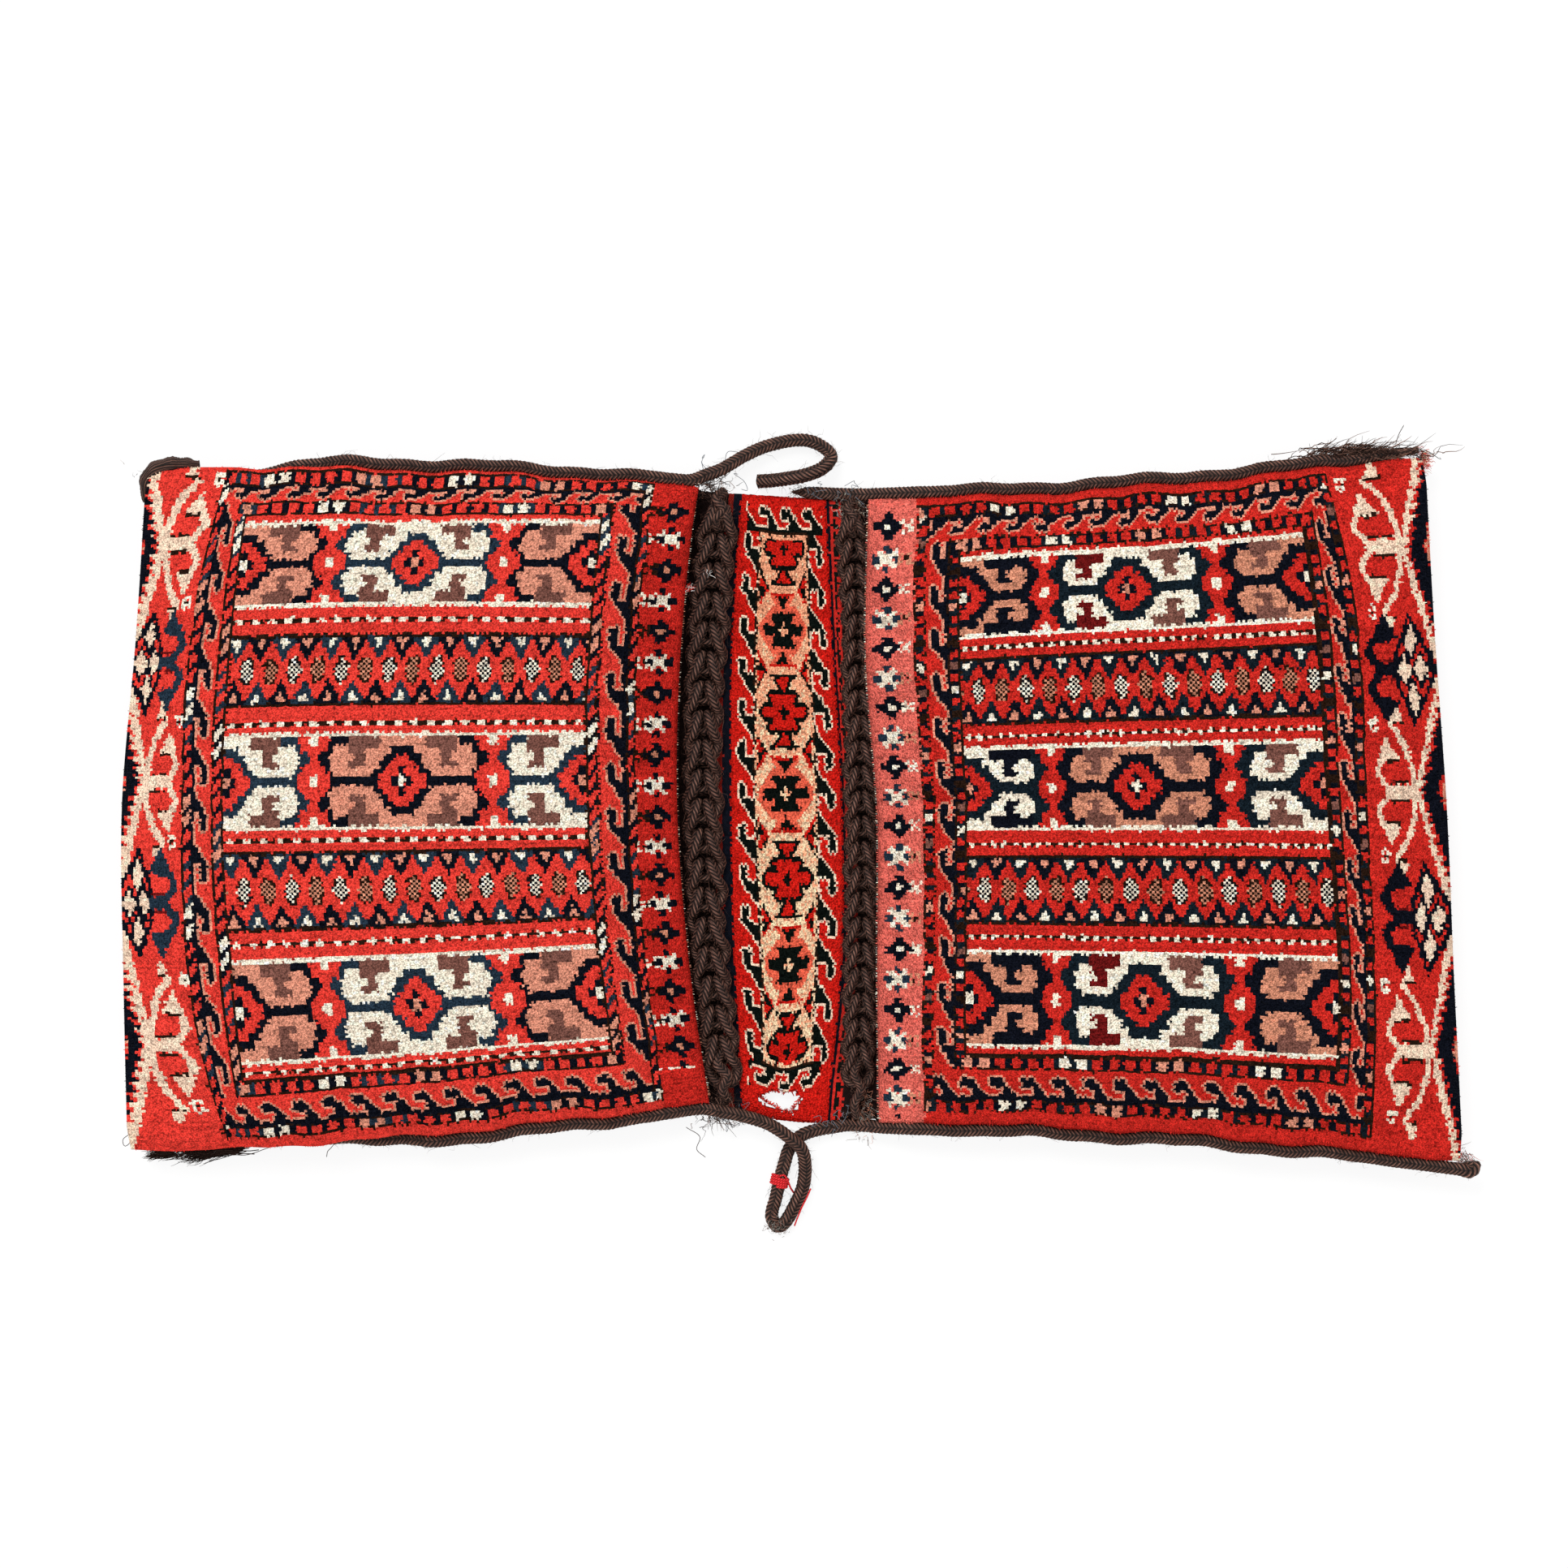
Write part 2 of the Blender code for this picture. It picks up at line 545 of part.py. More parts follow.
def main():
    clear_scene()
    make_bag_cloth()
    make_chain(LEFT, "left")
    make_chain(RIGHT, "right")
    loose_end = smooth_route(LOOSE_END_ROUTE, LOOSE_STEP * EDGE_CORD)
    carry_loop = smooth_route(CARRY_LOOP_ROUTE, LOOP_STEP * EDGE_CORD)
    make_edge_cords(loose_end, carry_loop)
    make_loose_cords(loose_end, carry_loop)
    make_yarn_tie(carry_loop)


main()
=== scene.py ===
import bpy
import numpy as np
from bpy.props import FloatProperty, FloatVectorProperty, PointerProperty
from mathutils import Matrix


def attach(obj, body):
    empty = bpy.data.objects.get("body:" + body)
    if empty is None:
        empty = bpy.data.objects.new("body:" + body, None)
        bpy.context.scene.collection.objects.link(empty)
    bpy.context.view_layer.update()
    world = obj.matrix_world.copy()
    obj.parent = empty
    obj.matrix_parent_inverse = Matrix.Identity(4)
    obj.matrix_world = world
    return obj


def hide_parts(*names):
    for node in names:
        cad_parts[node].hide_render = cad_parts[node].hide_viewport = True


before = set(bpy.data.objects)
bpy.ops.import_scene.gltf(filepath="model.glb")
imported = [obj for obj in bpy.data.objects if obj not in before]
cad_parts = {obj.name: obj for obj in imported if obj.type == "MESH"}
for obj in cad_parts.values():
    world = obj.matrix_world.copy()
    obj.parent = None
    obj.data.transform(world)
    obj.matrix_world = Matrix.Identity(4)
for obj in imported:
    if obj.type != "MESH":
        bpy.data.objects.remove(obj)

bl_info = {
    "name": "Saddle Bag Looks",
    "version": (1, 0, 0),
    "blender": (4, 5, 0),
    "location": "3D View > Sidebar > Saddle Bag",
    "description": "Dresses a two-pouch saddle bag in knotted pile and plaited goat hair",
    "category": "Object",
}

UNIT = 0.00066667  # one pattern unit in metres
ORIGIN = (986.0, 997.0)  # pattern place of the frame's origin; q runs down
SEED = 11
STRAND = 0.0034  # length of cord that one slanting strand of a plait takes
STRAND_LEAN = 2.0  # and how many such lengths it slants by over its row
STEPS = 4  # rings of the mesh along one strand
STEP = STRAND / STEPS
EYE = (-0.0133, 0.0207, 3.225)  # place of the camera over the bag, for the design's shift with height
PICTURE_MIDDLE = 966  # pattern place, along both, of the middle of the camera's frame
LOWEST = 0.0004  # lowest height of any cloth or fibre
SWELL = 1.03  # width of a plait over its cord's: the plaits' creases lie deeper than the cord
THREAD_STEP = 0.0015  # spacing of the rings of a thread
YARN_STEP = 0.0007
CLOTH_GRID = (57, 49)  # points of the coarse cloth copy across a pouch and along it
CLOTH_FRAMES = 20
MOST_MOVE, SIDEWAYS = 0.006, 0.4  # furthest that filled cloth moves, and the share kept along x and y
SEAM_REACH = 0.06  # how far in from its side edges a pouch is drawn to its seam
CORNER_REACH, CORNER_PULL = 0.024, 0.0030  # size of a pouch's puckered corners, and how far they draw in
UNEVEN = 0.00022  # scatter of the knots about their places
MOUTH_WALL = 6  # columns of the back that form the wall of the mouth
TIPS, FRINGE = 5000, 4  # loose tufts on a face, and for each knot of its free edges
STITCHES, TORN_THREADS = 270, 260  # stitches of a mouth, and threads round the torn hole
CHAIN_HAIRS, CORD_HAIRS = 60, 200  # hairs that stand off each cord of a chain, and each edge cord
FLOOR_SEEN = 0.86  # share of the floor's own colour that the camera sees; the rest takes the shadow
ANYWHERE = 3000  # a pattern place beyond the whole bag
OVERLAP = 0.0012  # how far the cloth edge laps onto the cord sewn along it
WORN = 0.75  # how far, in pattern units, a knot may stray from the drawn outline

# Colours of the yarns, as the eye names them
YARNS = {
    "red": (0.905, 0.245, 0.205),
    "deep_red": (0.800, 0.170, 0.140),
    "bridge_red": (0.800, 0.120, 0.090),
    "coral": (0.930, 0.390, 0.290),
    "rose": (0.905, 0.425, 0.375),
    "cream": (1.000, 0.940, 0.850),
    "ivory": (0.985, 0.830, 0.670),
    "apricot": (0.965, 0.650, 0.500),
    "shell": (0.975, 0.840, 0.735),
    "peach": (0.880, 0.580, 0.480),
    "tan": (0.820, 0.545, 0.435),
    "brown": (0.490, 0.320, 0.280),
    "maroon": (0.420, 0.090, 0.090),
    "navy": (0.065, 0.075, 0.110),
    "teal": (0.145, 0.205, 0.260),
    "sea": (0.085, 0.125, 0.155),
    "line": (0.160, 0.100, 0.070),
    "bottle": (0.055, 0.075, 0.065),
    "weave_red": (0.560, 0.130, 0.100),
    "weave_dark": (0.120, 0.080, 0.075),
    "hair": (0.210, 0.150, 0.130),
    "hair_light": (0.460, 0.340, 0.290),
    "grey": (0.580, 0.560, 0.530),
    "slate": (0.400, 0.420, 0.450),
    "white": (0.960, 0.950, 0.930),
}
YARN_NAMES = list(YARNS)

# Heights shared with the frame's solids
CROWN, SEAM, LIP, CLOTH, BACK, PILE = 0.092, 0.030, 0.027, 0.008, 0.007, 0.011
NOMINAL_WIDTH, UNDER_RUN, MOUTH_SLOPE = 0.550, 0.046, 0.100

# Each pouch: lines of its design that run down the bag and lines that run along it. A line down is
# its place at mid height and its places at five heights; a line along is its place and its places
# at seven stations from the lowest p to the highest.
LEFT_DOWN = [(150, (181, 168, 151, 153, 158)), (224, (281, 236, 223, 234, 283)),
             (277, (314, 290, 277, 291, 314)), (722, (744, 724, 722, 737, 762)),
             (788, (808, 788, 787, 797, 820)), (834, (861, 840, 834, 848, 874))]
LEFT_ALONG = [(573, (594, 575, 573, 575, 585, 574, 585)), (645, (655, 650, 646, 645, 645, 646, 648)),
              (1020, (1025, 1023, 1021, 1020, 1019, 1018, 1017)),
              (1294, (1314, 1309, 1302, 1295, 1286, 1277, 1268)),
              (1402, (1424, 1419, 1409, 1401, 1378, 1367, 1357))]
RIGHT_DOWN = [(1083, (1070, 1067, 1081, 1081, 1083)), (1137, (1131, 1128, 1136, 1138, 1140)),
              (1190, (1185, 1184, 1190, 1191, 1193)), (1635, (1594, 1621, 1635, 1648, 1640)),
              (1684, (1630, 1672, 1684, 1692, 1688)), (1783, (1755, 1767, 1782, 1791, 1802))]
RIGHT_ALONG = [(598, (616, 606, 606, 596, 588, 563, 556)), (677, (699, 691, 683, 676, 668, 658, 650)),
               (1020, (1022, 1021, 1020, 1020, 1020, 1021, 1022)),
               (1288, (1284, 1284, 1286, 1289, 1294, 1300, 1306)),
               (1398, (1383, 1388, 1394, 1401, 1409, 1424, 1435))]

LEFT_ROWS = {
    "ends": (573, 1402), "chequers": [(579, 592), (618, 632), (1318, 1331), (1377, 1388)],
    "hooks": [(594, 617), (1334, 1376)],
    "creams": [(642, 648), (745, 750), (903, 908), (1017, 1022), (1172, 1177), (1291, 1296)],
    "bands": [(648, 745), (908, 1017), (1177, 1291)], "diamonds": [(787, 867), (1050, 1136)],
    "dashes": [766, 892, 1034, 1155, 1306],
    "lines": [(784, 787), (867, 870), (1047, 1050), (1136, 1139), (1314, 1317)],
}
RIGHT_ROWS = {
    "ends": (598, 1398), "chequers": [(610, 621), (655, 667), (1305, 1318), (1366, 1378)],
    "hooks": [(623, 653), (1320, 1364)],
    "creams": [(674, 680), (775, 780), (916, 921), (1018, 1023), (1170, 1175), (1287, 1292)],
    "bands": [(680, 775), (921, 1018), (1175, 1287)], "diamonds": [(808, 886), (1057, 1135)],
    "dashes": [792, 904, 1040, 1154],
    "lines": [(805, 808), (886, 889), (1054, 1057), (1135, 1138), (1300, 1303)],
}
LEFT_COLUMNS = {
    "elem": (150, 223), "outer_line": (223, 226), "outer_chequers": [(226, 235), (778, 786)],
    "hooks": [(235, 262), (740, 776)], "inner_chequers": [(264, 274), (726, 737)],
    "field": (277, 722), "strip": (788, 834),
}
RIGHT_COLUMNS = {
    "elem": (1685, 1783), "outer_line": (1682, 1685), "outer_chequers": [(1139, 1147), (1674, 1682)],
    "hooks": [(1149, 1178), (1649, 1672)], "inner_chequers": [(1179, 1188), (1638, 1648)],
    "field": (1191, 1633), "strip": (1083, 1136),
}

LOOSE_END_ROUTE = [(-0.0790, 0.2745, 0.0190), (-0.0650, 0.2800, 0.0160), (-0.0450, 0.2920, 0.0110),
                   (-0.0270, 0.3000, 0.0075), (0.0000, 0.3050, 0.0063), (0.0140, 0.3020, 0.0066),
                   (0.0255, 0.2920, 0.0095), (0.0195, 0.2820, 0.0150), (0.0070, 0.2758, 0.0180),
                   (-0.0100, 0.2725, 0.0150), (-0.0230, 0.2712, 0.0098), (-0.0350, 0.2707, 0.0066)]
CARRY_LOOP_ROUTE = [(-0.0680, -0.2485, 0.0190), (-0.0500, -0.2520, 0.0187), (-0.0270, -0.2590, 0.0182),
                    (-0.0110, -0.2690, 0.0182), (0.0010, -0.2800, 0.0150), (0.0040, -0.2960, 0.0088),
                    (0.0020, -0.3130, 0.0062), (-0.0050, -0.3290, 0.0060), (-0.0125, -0.3415, 0.0060),
                    (-0.0185, -0.3450, 0.0060), (-0.0235, -0.3370, 0.0062), (-0.0200, -0.3210, 0.0072),
                    (-0.0165, -0.3050, 0.0080), (-0.0130, -0.2930, 0.0076), (-0.0085, -0.2800, 0.0062),
                    (0.0010, -0.2700, 0.0062), (0.0150, -0.2650, 0.0062), (0.0270, -0.2630, 0.0062)]
# The strip of the bridge, its lines down and along as for the pouches, and the worn hole through it
BRIDGE_DOWN = [(839, (860, 843, 839, 847, 867)), (889, (904, 892, 889, 893, 905)),
               (900, (913, 901, 900, 904, 914)), (931, (940, 932, 931, 939, 942)),
               (1006, (993, 997, 1006, 1005, 996)), (1038, (1017, 1027, 1038, 1038, 1019)),
               (1050, (1036, 1038, 1050, 1056, 1034)), (1085, (1073, 1081, 1085, 1084, 1079))]
BRIDGE_ALONG = [(602, (603, 602, 604, 611, 611, 613, 617)), (990, (990, 990, 990, 990, 990, 990, 990)),
                (1372, (1356, 1359, 1368, 1384, 1373, 1375, 1379))]
WORN_HOLE = [(933, 1350), (945, 1345), (956, 1344), (968, 1347), (979, 1344), (989, 1352), (983, 1362),
             (975, 1374), (962, 1371), (950, 1364), (940, 1358)]


def linear(colour):
    """A colour as the eye names it, turned into light: the usual curve of a display, undone."""
    c = np.asarray(colour, float)
    return np.where(c <= 0.04045, c / 12.92, ((c + 0.055) / 1.055) ** 2.4)


def through(values, t):
    """A smooth curve through equally spaced values, with each slope taken from the two neighbours."""
    v = np.asarray(values, float)
    n = len(v) - 1
    v = np.concatenate([[2 * v[0] - v[1]], v, [2 * v[-1] - v[-2]]])
    s = np.clip(t, 0, 1) * n
    i = np.minimum(s.astype(int), n - 1)
    f = s - i
    a, b, c, d = v[i], v[i + 1], v[i + 2], v[i + 3]
    square, cube = 2 * a - 5 * b + 4 * c - d, 3 * b - a - 3 * c + d
    return 0.5 * (2 * b + (c - a) * f + square * f ** 2 + cube * f ** 3)


def laid(places, share, lines):
    """Places of the design's lines on the bag: each place moves by the offset of the lines beside it.

    The result has one row for each share along the lines and one column for each place.
    """
    at = np.array([p for p, _ in lines], float)
    offsets = np.array([through(values, share) - p for p, values in lines])
    k = np.clip(np.searchsorted(at, places) - 1, 0, len(at) - 2)
    w = (places - at[k]) / (at[k + 1] - at[k])
    return places[None, :] + offsets[k].T * (1 - w) + offsets[k + 1].T * w


def pouch_heights(a, v, length):
    """Upper and lower height of a pouch at share a from its mouth and v across it.

    Upper: a crown that falls to the seam like a superellipse. Lower: flat, then a rise to the seam.
    """
    seam = SEAM + (LIP - CLOTH / 2 - SEAM) * np.clip(1 - a * length / MOUTH_SLOPE, 0, 1) ** 2
    side = np.clip(1 - np.abs(2 * v - 1) ** 3.0, 0, 1) ** 0.5
    end = np.clip(1 - np.clip((a - 0.45) / 0.55, 0, 1) ** 3.2, 0, 1) ** 0.5
    mouth = np.clip(1 - np.clip(1 - a / 0.45, 0, 1) ** 2.4, 0, 1) ** 0.6
    upper = seam + CLOTH / 2 * mouth + (CROWN - SEAM - CLOTH / 2) * side * end * mouth
    rise = np.clip(1 - np.minimum(np.minimum(v, 1 - v) * NOMINAL_WIDTH, (1 - a) * length) / UNDER_RUN, 0, 1)
    return upper, (seam - CLOTH / 2) * rise


class Panel:
    """A field of knots at places p, q of the design, each with the number of its yarn."""

    def __init__(self, p, q, ground, seed):
        rng = np.random.default_rng(seed)
        self.p, self.q = (grid + rng.normal(0, WORN, grid.shape) for grid in np.meshgrid(p, q))
        self.yarn = np.full(self.p.shape, YARN_NAMES.index(ground))

    def dye(self, mask, yarn):
        self.yarn[mask] = YARN_NAMES.index(yarn)

    def box(self, p0, p1, q0, q1):
        return (self.p >= p0) & (self.p < p1) & (self.q >= q0) & (self.q < q1)


def inside(x, y, corners):
    """Whether points lie in a polygon: a ray from each crosses its sides an odd number of times."""
    c = np.array(corners, float)
    odd = np.zeros(np.broadcast(x, y).shape, bool)
    for (x0, y0), (x1, y1) in zip(c, np.roll(c, -1, axis=0)):
        if y0 != y1:
            odd ^= ((y0 > y) != (y1 > y)) & (x < (x1 - x0) * (y - y0) / (y1 - y0) + x0)
    return odd


def along_line(x, y, points, half):
    """Whether points lie within half a stroke's width of a line through the given places."""
    near = np.full(np.broadcast(x, y).shape, np.inf)
    p = np.array(points, float)
    for (x0, y0), (x1, y1) in zip(p[:-1], p[1:]):
        dx, dy = x1 - x0, y1 - y0
        t = np.clip(((x - x0) * dx + (y - y0) * dy) / (dx * dx + dy * dy), 0, 1)
        near = np.minimum(near, np.hypot(x - x0 - t * dx, y - y0 - t * dy))
    return near <= half


def stepped(x, y, steps):
    """Whether |x| is under the half width given for |y|: steps are (|y| up to, half width)."""
    limits = np.array([s[0] for s in steps], float)
    widths = np.array([s[1] for s in steps] + [-1.0], float)
    return np.abs(x) < widths[np.searchsorted(limits, np.abs(y), side="right")]


def grown(mask):
    """The mask and the knots beside it on four sides."""
    wide = mask.copy()
    wide[1:] |= mask[:-1]
    wide[:-1] |= mask[1:]
    wide[:, 1:] |= mask[:, :-1]
    wide[:, :-1] |= mask[:, 1:]
    return wide


def chequers(panel, area, t, pitch, colours, grounds, shift=0.0):
    """Blocks of colour in a row along t with dark gaps between them, the colours in turn."""
    k = np.floor((t + shift) / pitch).astype(int)
    f = (t + shift) / pitch - k
    for n, ground in enumerate(grounds):
        panel.dye(area & (k // 3 % len(grounds) == n), ground)
    for n, colour in enumerate(colours):
        panel.dye(area & (f < 0.60) & (k % len(colours) == n), colour)


def hooks(panel, area, t, n, pitch, shift=0.0, ground="navy", body="red", edge="peach",
          slot=(0.26, 0.55), rim_from=0.84):
    """A running row of hooks, drawn by the dark gap between them: n is 0 at their base, 1 at their tips.

    A gap is a slot beside the base that opens into a triangle as wide as the row; t runs along the row.
    """
    panel.dye(area, body)
    f = (t + shift) / pitch
    f = f - np.floor(f)
    low, high = slot
    corners = [(0.03, low), (0.38, low), (0.45, low + 0.08), (1.03, 1.04), (0.42, 1.04), (0.40, high),
               (0.03, high)]
    gap = (inside(f, n, corners) | (n > rim_from)) & area
    if rim_from > 1:
        panel.dye(area & (n > 0.88), edge)
    panel.dye(grown(gap) & area, edge)
    panel.dye(gap, ground)


def medallions(panel, area, centre_q, half, centres, light_middle, left):
    """The band of large flowers in stepped outlines, with small flowers between them.

    In a medallion's own units the band reaches 47 each way from its middle line and 106.5 along it.
    The right pouch has bolder outlines.
    """
    bold = 2 if left else 7
    body = "red" if left else "deep_red"
    half_pitch, half_band = 106.5, 47.0
    beyond = [2 * centres[0] - centres[1], *centres, 2 * centres[2] - centres[1]]
    place = np.interp(panel.p, beyond, [-2, -1, 0, 1, 2])
    k = np.round(place).astype(int)
    x = np.abs(place - k) * 2 * half_pitch
    y = np.abs(panel.q - centre_q) * half_band / half
    octagon = [(4.0 + bold * 0.35, -1), (12, 84 - bold), (30, 90 - bold), (38, 85 - bold), (60, 68 - bold)]
    ring = [(7, 36 + bold), (13, 31 + bold), (20, 25 + bold), (28, 20 + bold), (35 + bold / 2, 12 + bold)]
    heart = [(8, 28), (14, 21), (21, 15), (27, 8)]
    between = [(9, 21 - bold / 2), (15, 16 - bold / 2), (19, 9), (27, 5), (31, 8), (42, 18 - bold / 2),
               (60, 22 - bold / 2)]
    kinds = (("cream", "teal" if left else "sea"), ("peach" if left else "tan", "navy"))
    for parity, (ground, outline) in enumerate(kinds):
        this = area & ((k + (0 if light_middle else 1)) % 2 == parity)
        panel.dye(this, outline)
        panel.dye(this & stepped(x, y, octagon), ground)
        curl = (x > 57) & (y > 21) & (y < 29)
        filled = ((x > 28) & (x < 65) & (y > 34)) | ((x > 45) & (x < 65) & (y > 14.5) & (y < 35) & ~curl)
        panel.dye(this & filled, "brown")
        if not left:
            panel.dye(this & filled & (k < 0), "navy")
            panel.dye(this & filled & (k == 0) & (panel.p < centres[1]) & (parity == 0), "maroon")
            panel.dye(this & (k < 0) & (x > 27) & (x < 80) & (y > 35), "navy")
        panel.dye(this & stepped(x, y, ring), outline)
        panel.dye(this & stepped(x, y, heart), body)
        centre = "peach" if parity == 0 else "cream"
        panel.dye(this & (((x < 4) & (y < 15)) | ((x < 12) & (y < 5))), "navy")
        panel.dye(this & (x < 4) & (y < 6), centre)
        far = half_pitch - x
        panel.dye(this & stepped(far, y, between), body)
        panel.dye(this & (far < 5) & (y < 6), "cream")
        panel.dye(this & (far < 5) & (y > 38), "cream")


def diamonds(panel, area, q0, q1, start, blue, pitch=29.5):
    """Triangles along both sides of a band and chequered lozenges midway between them."""
    t = (panel.p - start) / pitch
    k = np.round(t).astype(int)
    x = np.abs(t - k) * pitch
    for deep, light, dark, odd in ((panel.q - q0, "cream", blue, 0), (panel.q - q0, "peach", "navy", 1),
                                   (q1 - panel.q, "cream", blue, 1), (q1 - panel.q, "peach", "navy", 0)):
        this = area & (k % 2 == odd) & (deep >= 0)
        panel.dye(this & (x < 16.5 * (1 - deep / 29)), dark)
        panel.dye(this & (x < 6.0 * (1 - (deep - 3) / 12)) & (deep > 2), light)
    t = (panel.p - start) / pitch - 0.5
    k = np.round(t).astype(int)
    x = np.abs(t - k) * pitch
    y = np.abs(panel.q - (q0 + q1) / 2)
    rows, columns = np.indices(panel.p.shape)
    chequer = (rows + columns) % 2 == 0
    lozenge = area & (x / 10.0 + y / 18.0 < 1)
    for odd, light, dark in ((0, "cream", "navy"), (1, "tan", "line")):
        panel.dye(lozenge & (k % 2 == odd), light)
        panel.dye(lozenge & (k % 2 == odd) & chequer, dark)
        panel.dye(grown(lozenge) & ~lozenge & area & (k % 2 == odd) & (y > 6) & (x > 3), "line")


def dash_line(panel, area, q, start, pitch):
    """A thin dark line with light dashes on it."""
    panel.dye(area & (np.abs(panel.q - q) < 2.3), "line")
    f = ((panel.p - start) / pitch) % 1
    panel.dye(area & (np.abs(panel.q - q) < (2.9 if pitch > 15 else 2.4)) & (f < 0.46), "cream")


def flower_strip(panel, p0, p1, q_first, q_last, mouth_right, pitch=38.5):
    """Dark flowers and light stars in turn beside the mouth, with a small flower beside each."""
    main = p0 + (p1 - p0) * (0.53 if mouth_right else 0.42)
    small = p0 + (p1 - p0) * (0.15 if mouth_right else 0.80)
    area = panel.box(p0, p1, q_first - 20, q_last + 20)
    k = np.round((panel.q - q_first) / pitch).astype(int)
    y = panel.q - q_first - k * pitch
    x = panel.p - main
    dark = area & (k % 2 == 0)
    light = area & (k % 2 == 1)
    r = np.hypot(x, y)
    spoke = np.minimum(np.abs(x), np.abs(y)) < 4.5
    panel.dye(dark & (((r < 15.5) & spoke) | (r < 11.0)), "navy")
    panel.dye(dark & (r < 4.2), "tan" if mouth_right else "cream")
    cross = np.abs(np.abs(x) - np.abs(y)) < (3.4 if mouth_right else 4.2)
    panel.dye(light & (r < (13 if mouth_right else 15)) & cross, "cream")
    panel.dye(light & (r < 6), "cream")
    dots = (np.abs(np.abs(x) - 11) < 4.5) & (np.abs(y) < 4.5) | (np.abs(np.abs(y) - 12) < 4) & (np.abs(x) < 4)
    panel.dye(light & dots, "teal" if not mouth_right else "navy")
    x = np.abs(panel.p - small)
    y = np.abs(y)
    petals = ((np.abs(x - 4.5) < 2.4) & (np.abs(y - 4.5) < 2.6)) | ((x < 2) & (y < 2.5))
    panel.dye(dark & petals, "line" if mouth_right else "cream")
    panel.dye(light & petals, "cream" if mouth_right else "tan")
    panel.dye(light & (x < 2.2) & (y < 2.5), "line")


def horns(panel, area, p, q, out, squeeze):
    """A light pair of ram's horns: a block, two inner arms with filled heads and two long outer arms.

    out is +1 where the end of the bag lies at higher p; the places are in the horns' own units.
    """
    x, y = (panel.p - p) * out / squeeze, np.abs(panel.q - q)
    stroke = 4.8 if out < 0 else 3.2
    panel.dye(area & (np.abs(x) < 20) & (y < 8), "shell")
    panel.dye(area & along_line(x, y, [(-17, 4), (-30, 22), (-19, 48)], stroke), "shell")
    panel.dye(area & along_line(x, y, [(17, 5), (17, 26), (8, 54), (-9, 76)], stroke), "shell")
    panel.dye(area & inside(x, y, [(-17, 65), (1, 37), (-26, 34)]), "shell")
    panel.dye(area & inside(x, y, [(-14, 74), (6, 82), (0, 101)]), "shell")
    panel.dye(area & (x > -14) & (x < 12) & (np.abs(y - 10.5) < 1.7), "line")
    panel.dye(area & along_line(x, y, [(-20, 34), (-2, 36)], 1.8), "line")
    panel.dye(area & along_line(x, y, [(-8, 79), (6, 80)], 1.5), "line")


def dark_horns(panel, area, p, q, out, squeeze, yarn):
    """A dark pair of horns with a cluster of four outlined lozenges on its outer side."""
    x, y = (panel.p - p) * out / squeeze, np.abs(panel.q - q)
    panel.dye(area & inside(x, y, [(28, 67), (56, 18), (60, -1), (6, -1), (8, 20)]), "navy")
    body = "red" if out < 0 else "deep_red"
    panel.dye(area & inside(x, y, [(28, 59), (51, 16), (54, -1), (12, -1), (14, 18)]), body)
    for dx, dy, wide, tall in ((30, 33, 8, 20), (21, 0, 9, 16), (42, 0, 9, 16)):
        u, v = np.abs(x - dx), np.abs(y - dy)
        panel.dye(area & (u / (wide + 4) + v / (tall + 7) < 1), "navy")
        panel.dye(area & (u / wide + v / tall < 1), "shell")
    panel.dye(area & (x > -18) & (x < 13) & (y < 7.5), yarn)
    panel.dye(area & along_line(x, y, [(-13, 3), (-27, 20), (-21, 33)], 5.6), yarn)
    panel.dye(area & inside(x, y, [(-6, 66), (12, 37), (-4, 32), (-27, 29)]), yarn)
    panel.dye(area & (x > -13) & (x < 9) & (np.abs(y - 11) < 1.8), "maroon")


def end_panel(panel, columns, rows, horns_at, out):
    """The plain end panel: ram's horns in turn light and dark, dot flowers and a serrated edge."""
    p0, p1 = columns["elem"]
    top, bottom = rows["ends"]
    area = panel.box(p0 - 9, p1 + 9, top - 9, bottom + 9)
    edge = p1 if out > 0 else p0
    squeeze = 1.0 if out > 0 else 0.82
    block = np.mean([(edge - p) * out for p, _ in horns_at[::2]])
    middles = np.array([q for _, q in horns_at])
    places = np.concatenate([[2 * middles[0] - middles[1]], middles, [2 * middles[-1] - middles[-2]]])
    swing = np.interp(panel.q, places, [1, 0, 1, 0, 1, 0, 1])
    far = ((edge - panel.p) * out - block) / squeeze + 22 + 36 * swing
    tooth = 10.0 * (1 - (panel.q / 12.5) % 1)
    broad = 1.0 if out < 0 else 0.6
    panel.dye(area & (far < 5 * broad) & (far > -(2 + tooth) * broad), "shell")
    panel.dye(area & (far <= -(2 + tooth) * broad - 4) & (far > -25), "navy")
    panel.dye(area & (far <= -27) & (far > -31), "peach")
    panel.dye(area & (far <= -36) & (far > -40), "brown")
    for n, (p, q) in enumerate(horns_at):
        if n % 2:
            dark_horns(panel, area, p, q, out, squeeze, "teal" if out < 0 else "navy")
            continue
        horns(panel, area, p, q, out, squeeze)
        for dp, dq in ((-33, -76), (-24, 74)):
            x, y = np.abs(panel.p - p - out * dp * squeeze), np.abs(panel.q - q - dq)
            petals = (np.abs(x - 3.2) < 2.2) & (np.abs(y - 4) < 3)
            panel.dye(area & (petals | (x < 2) & (y < 9) & (y > 6)), "cream")
            panel.dye(area & (x < 1.8) & (y < 2.0), "line")


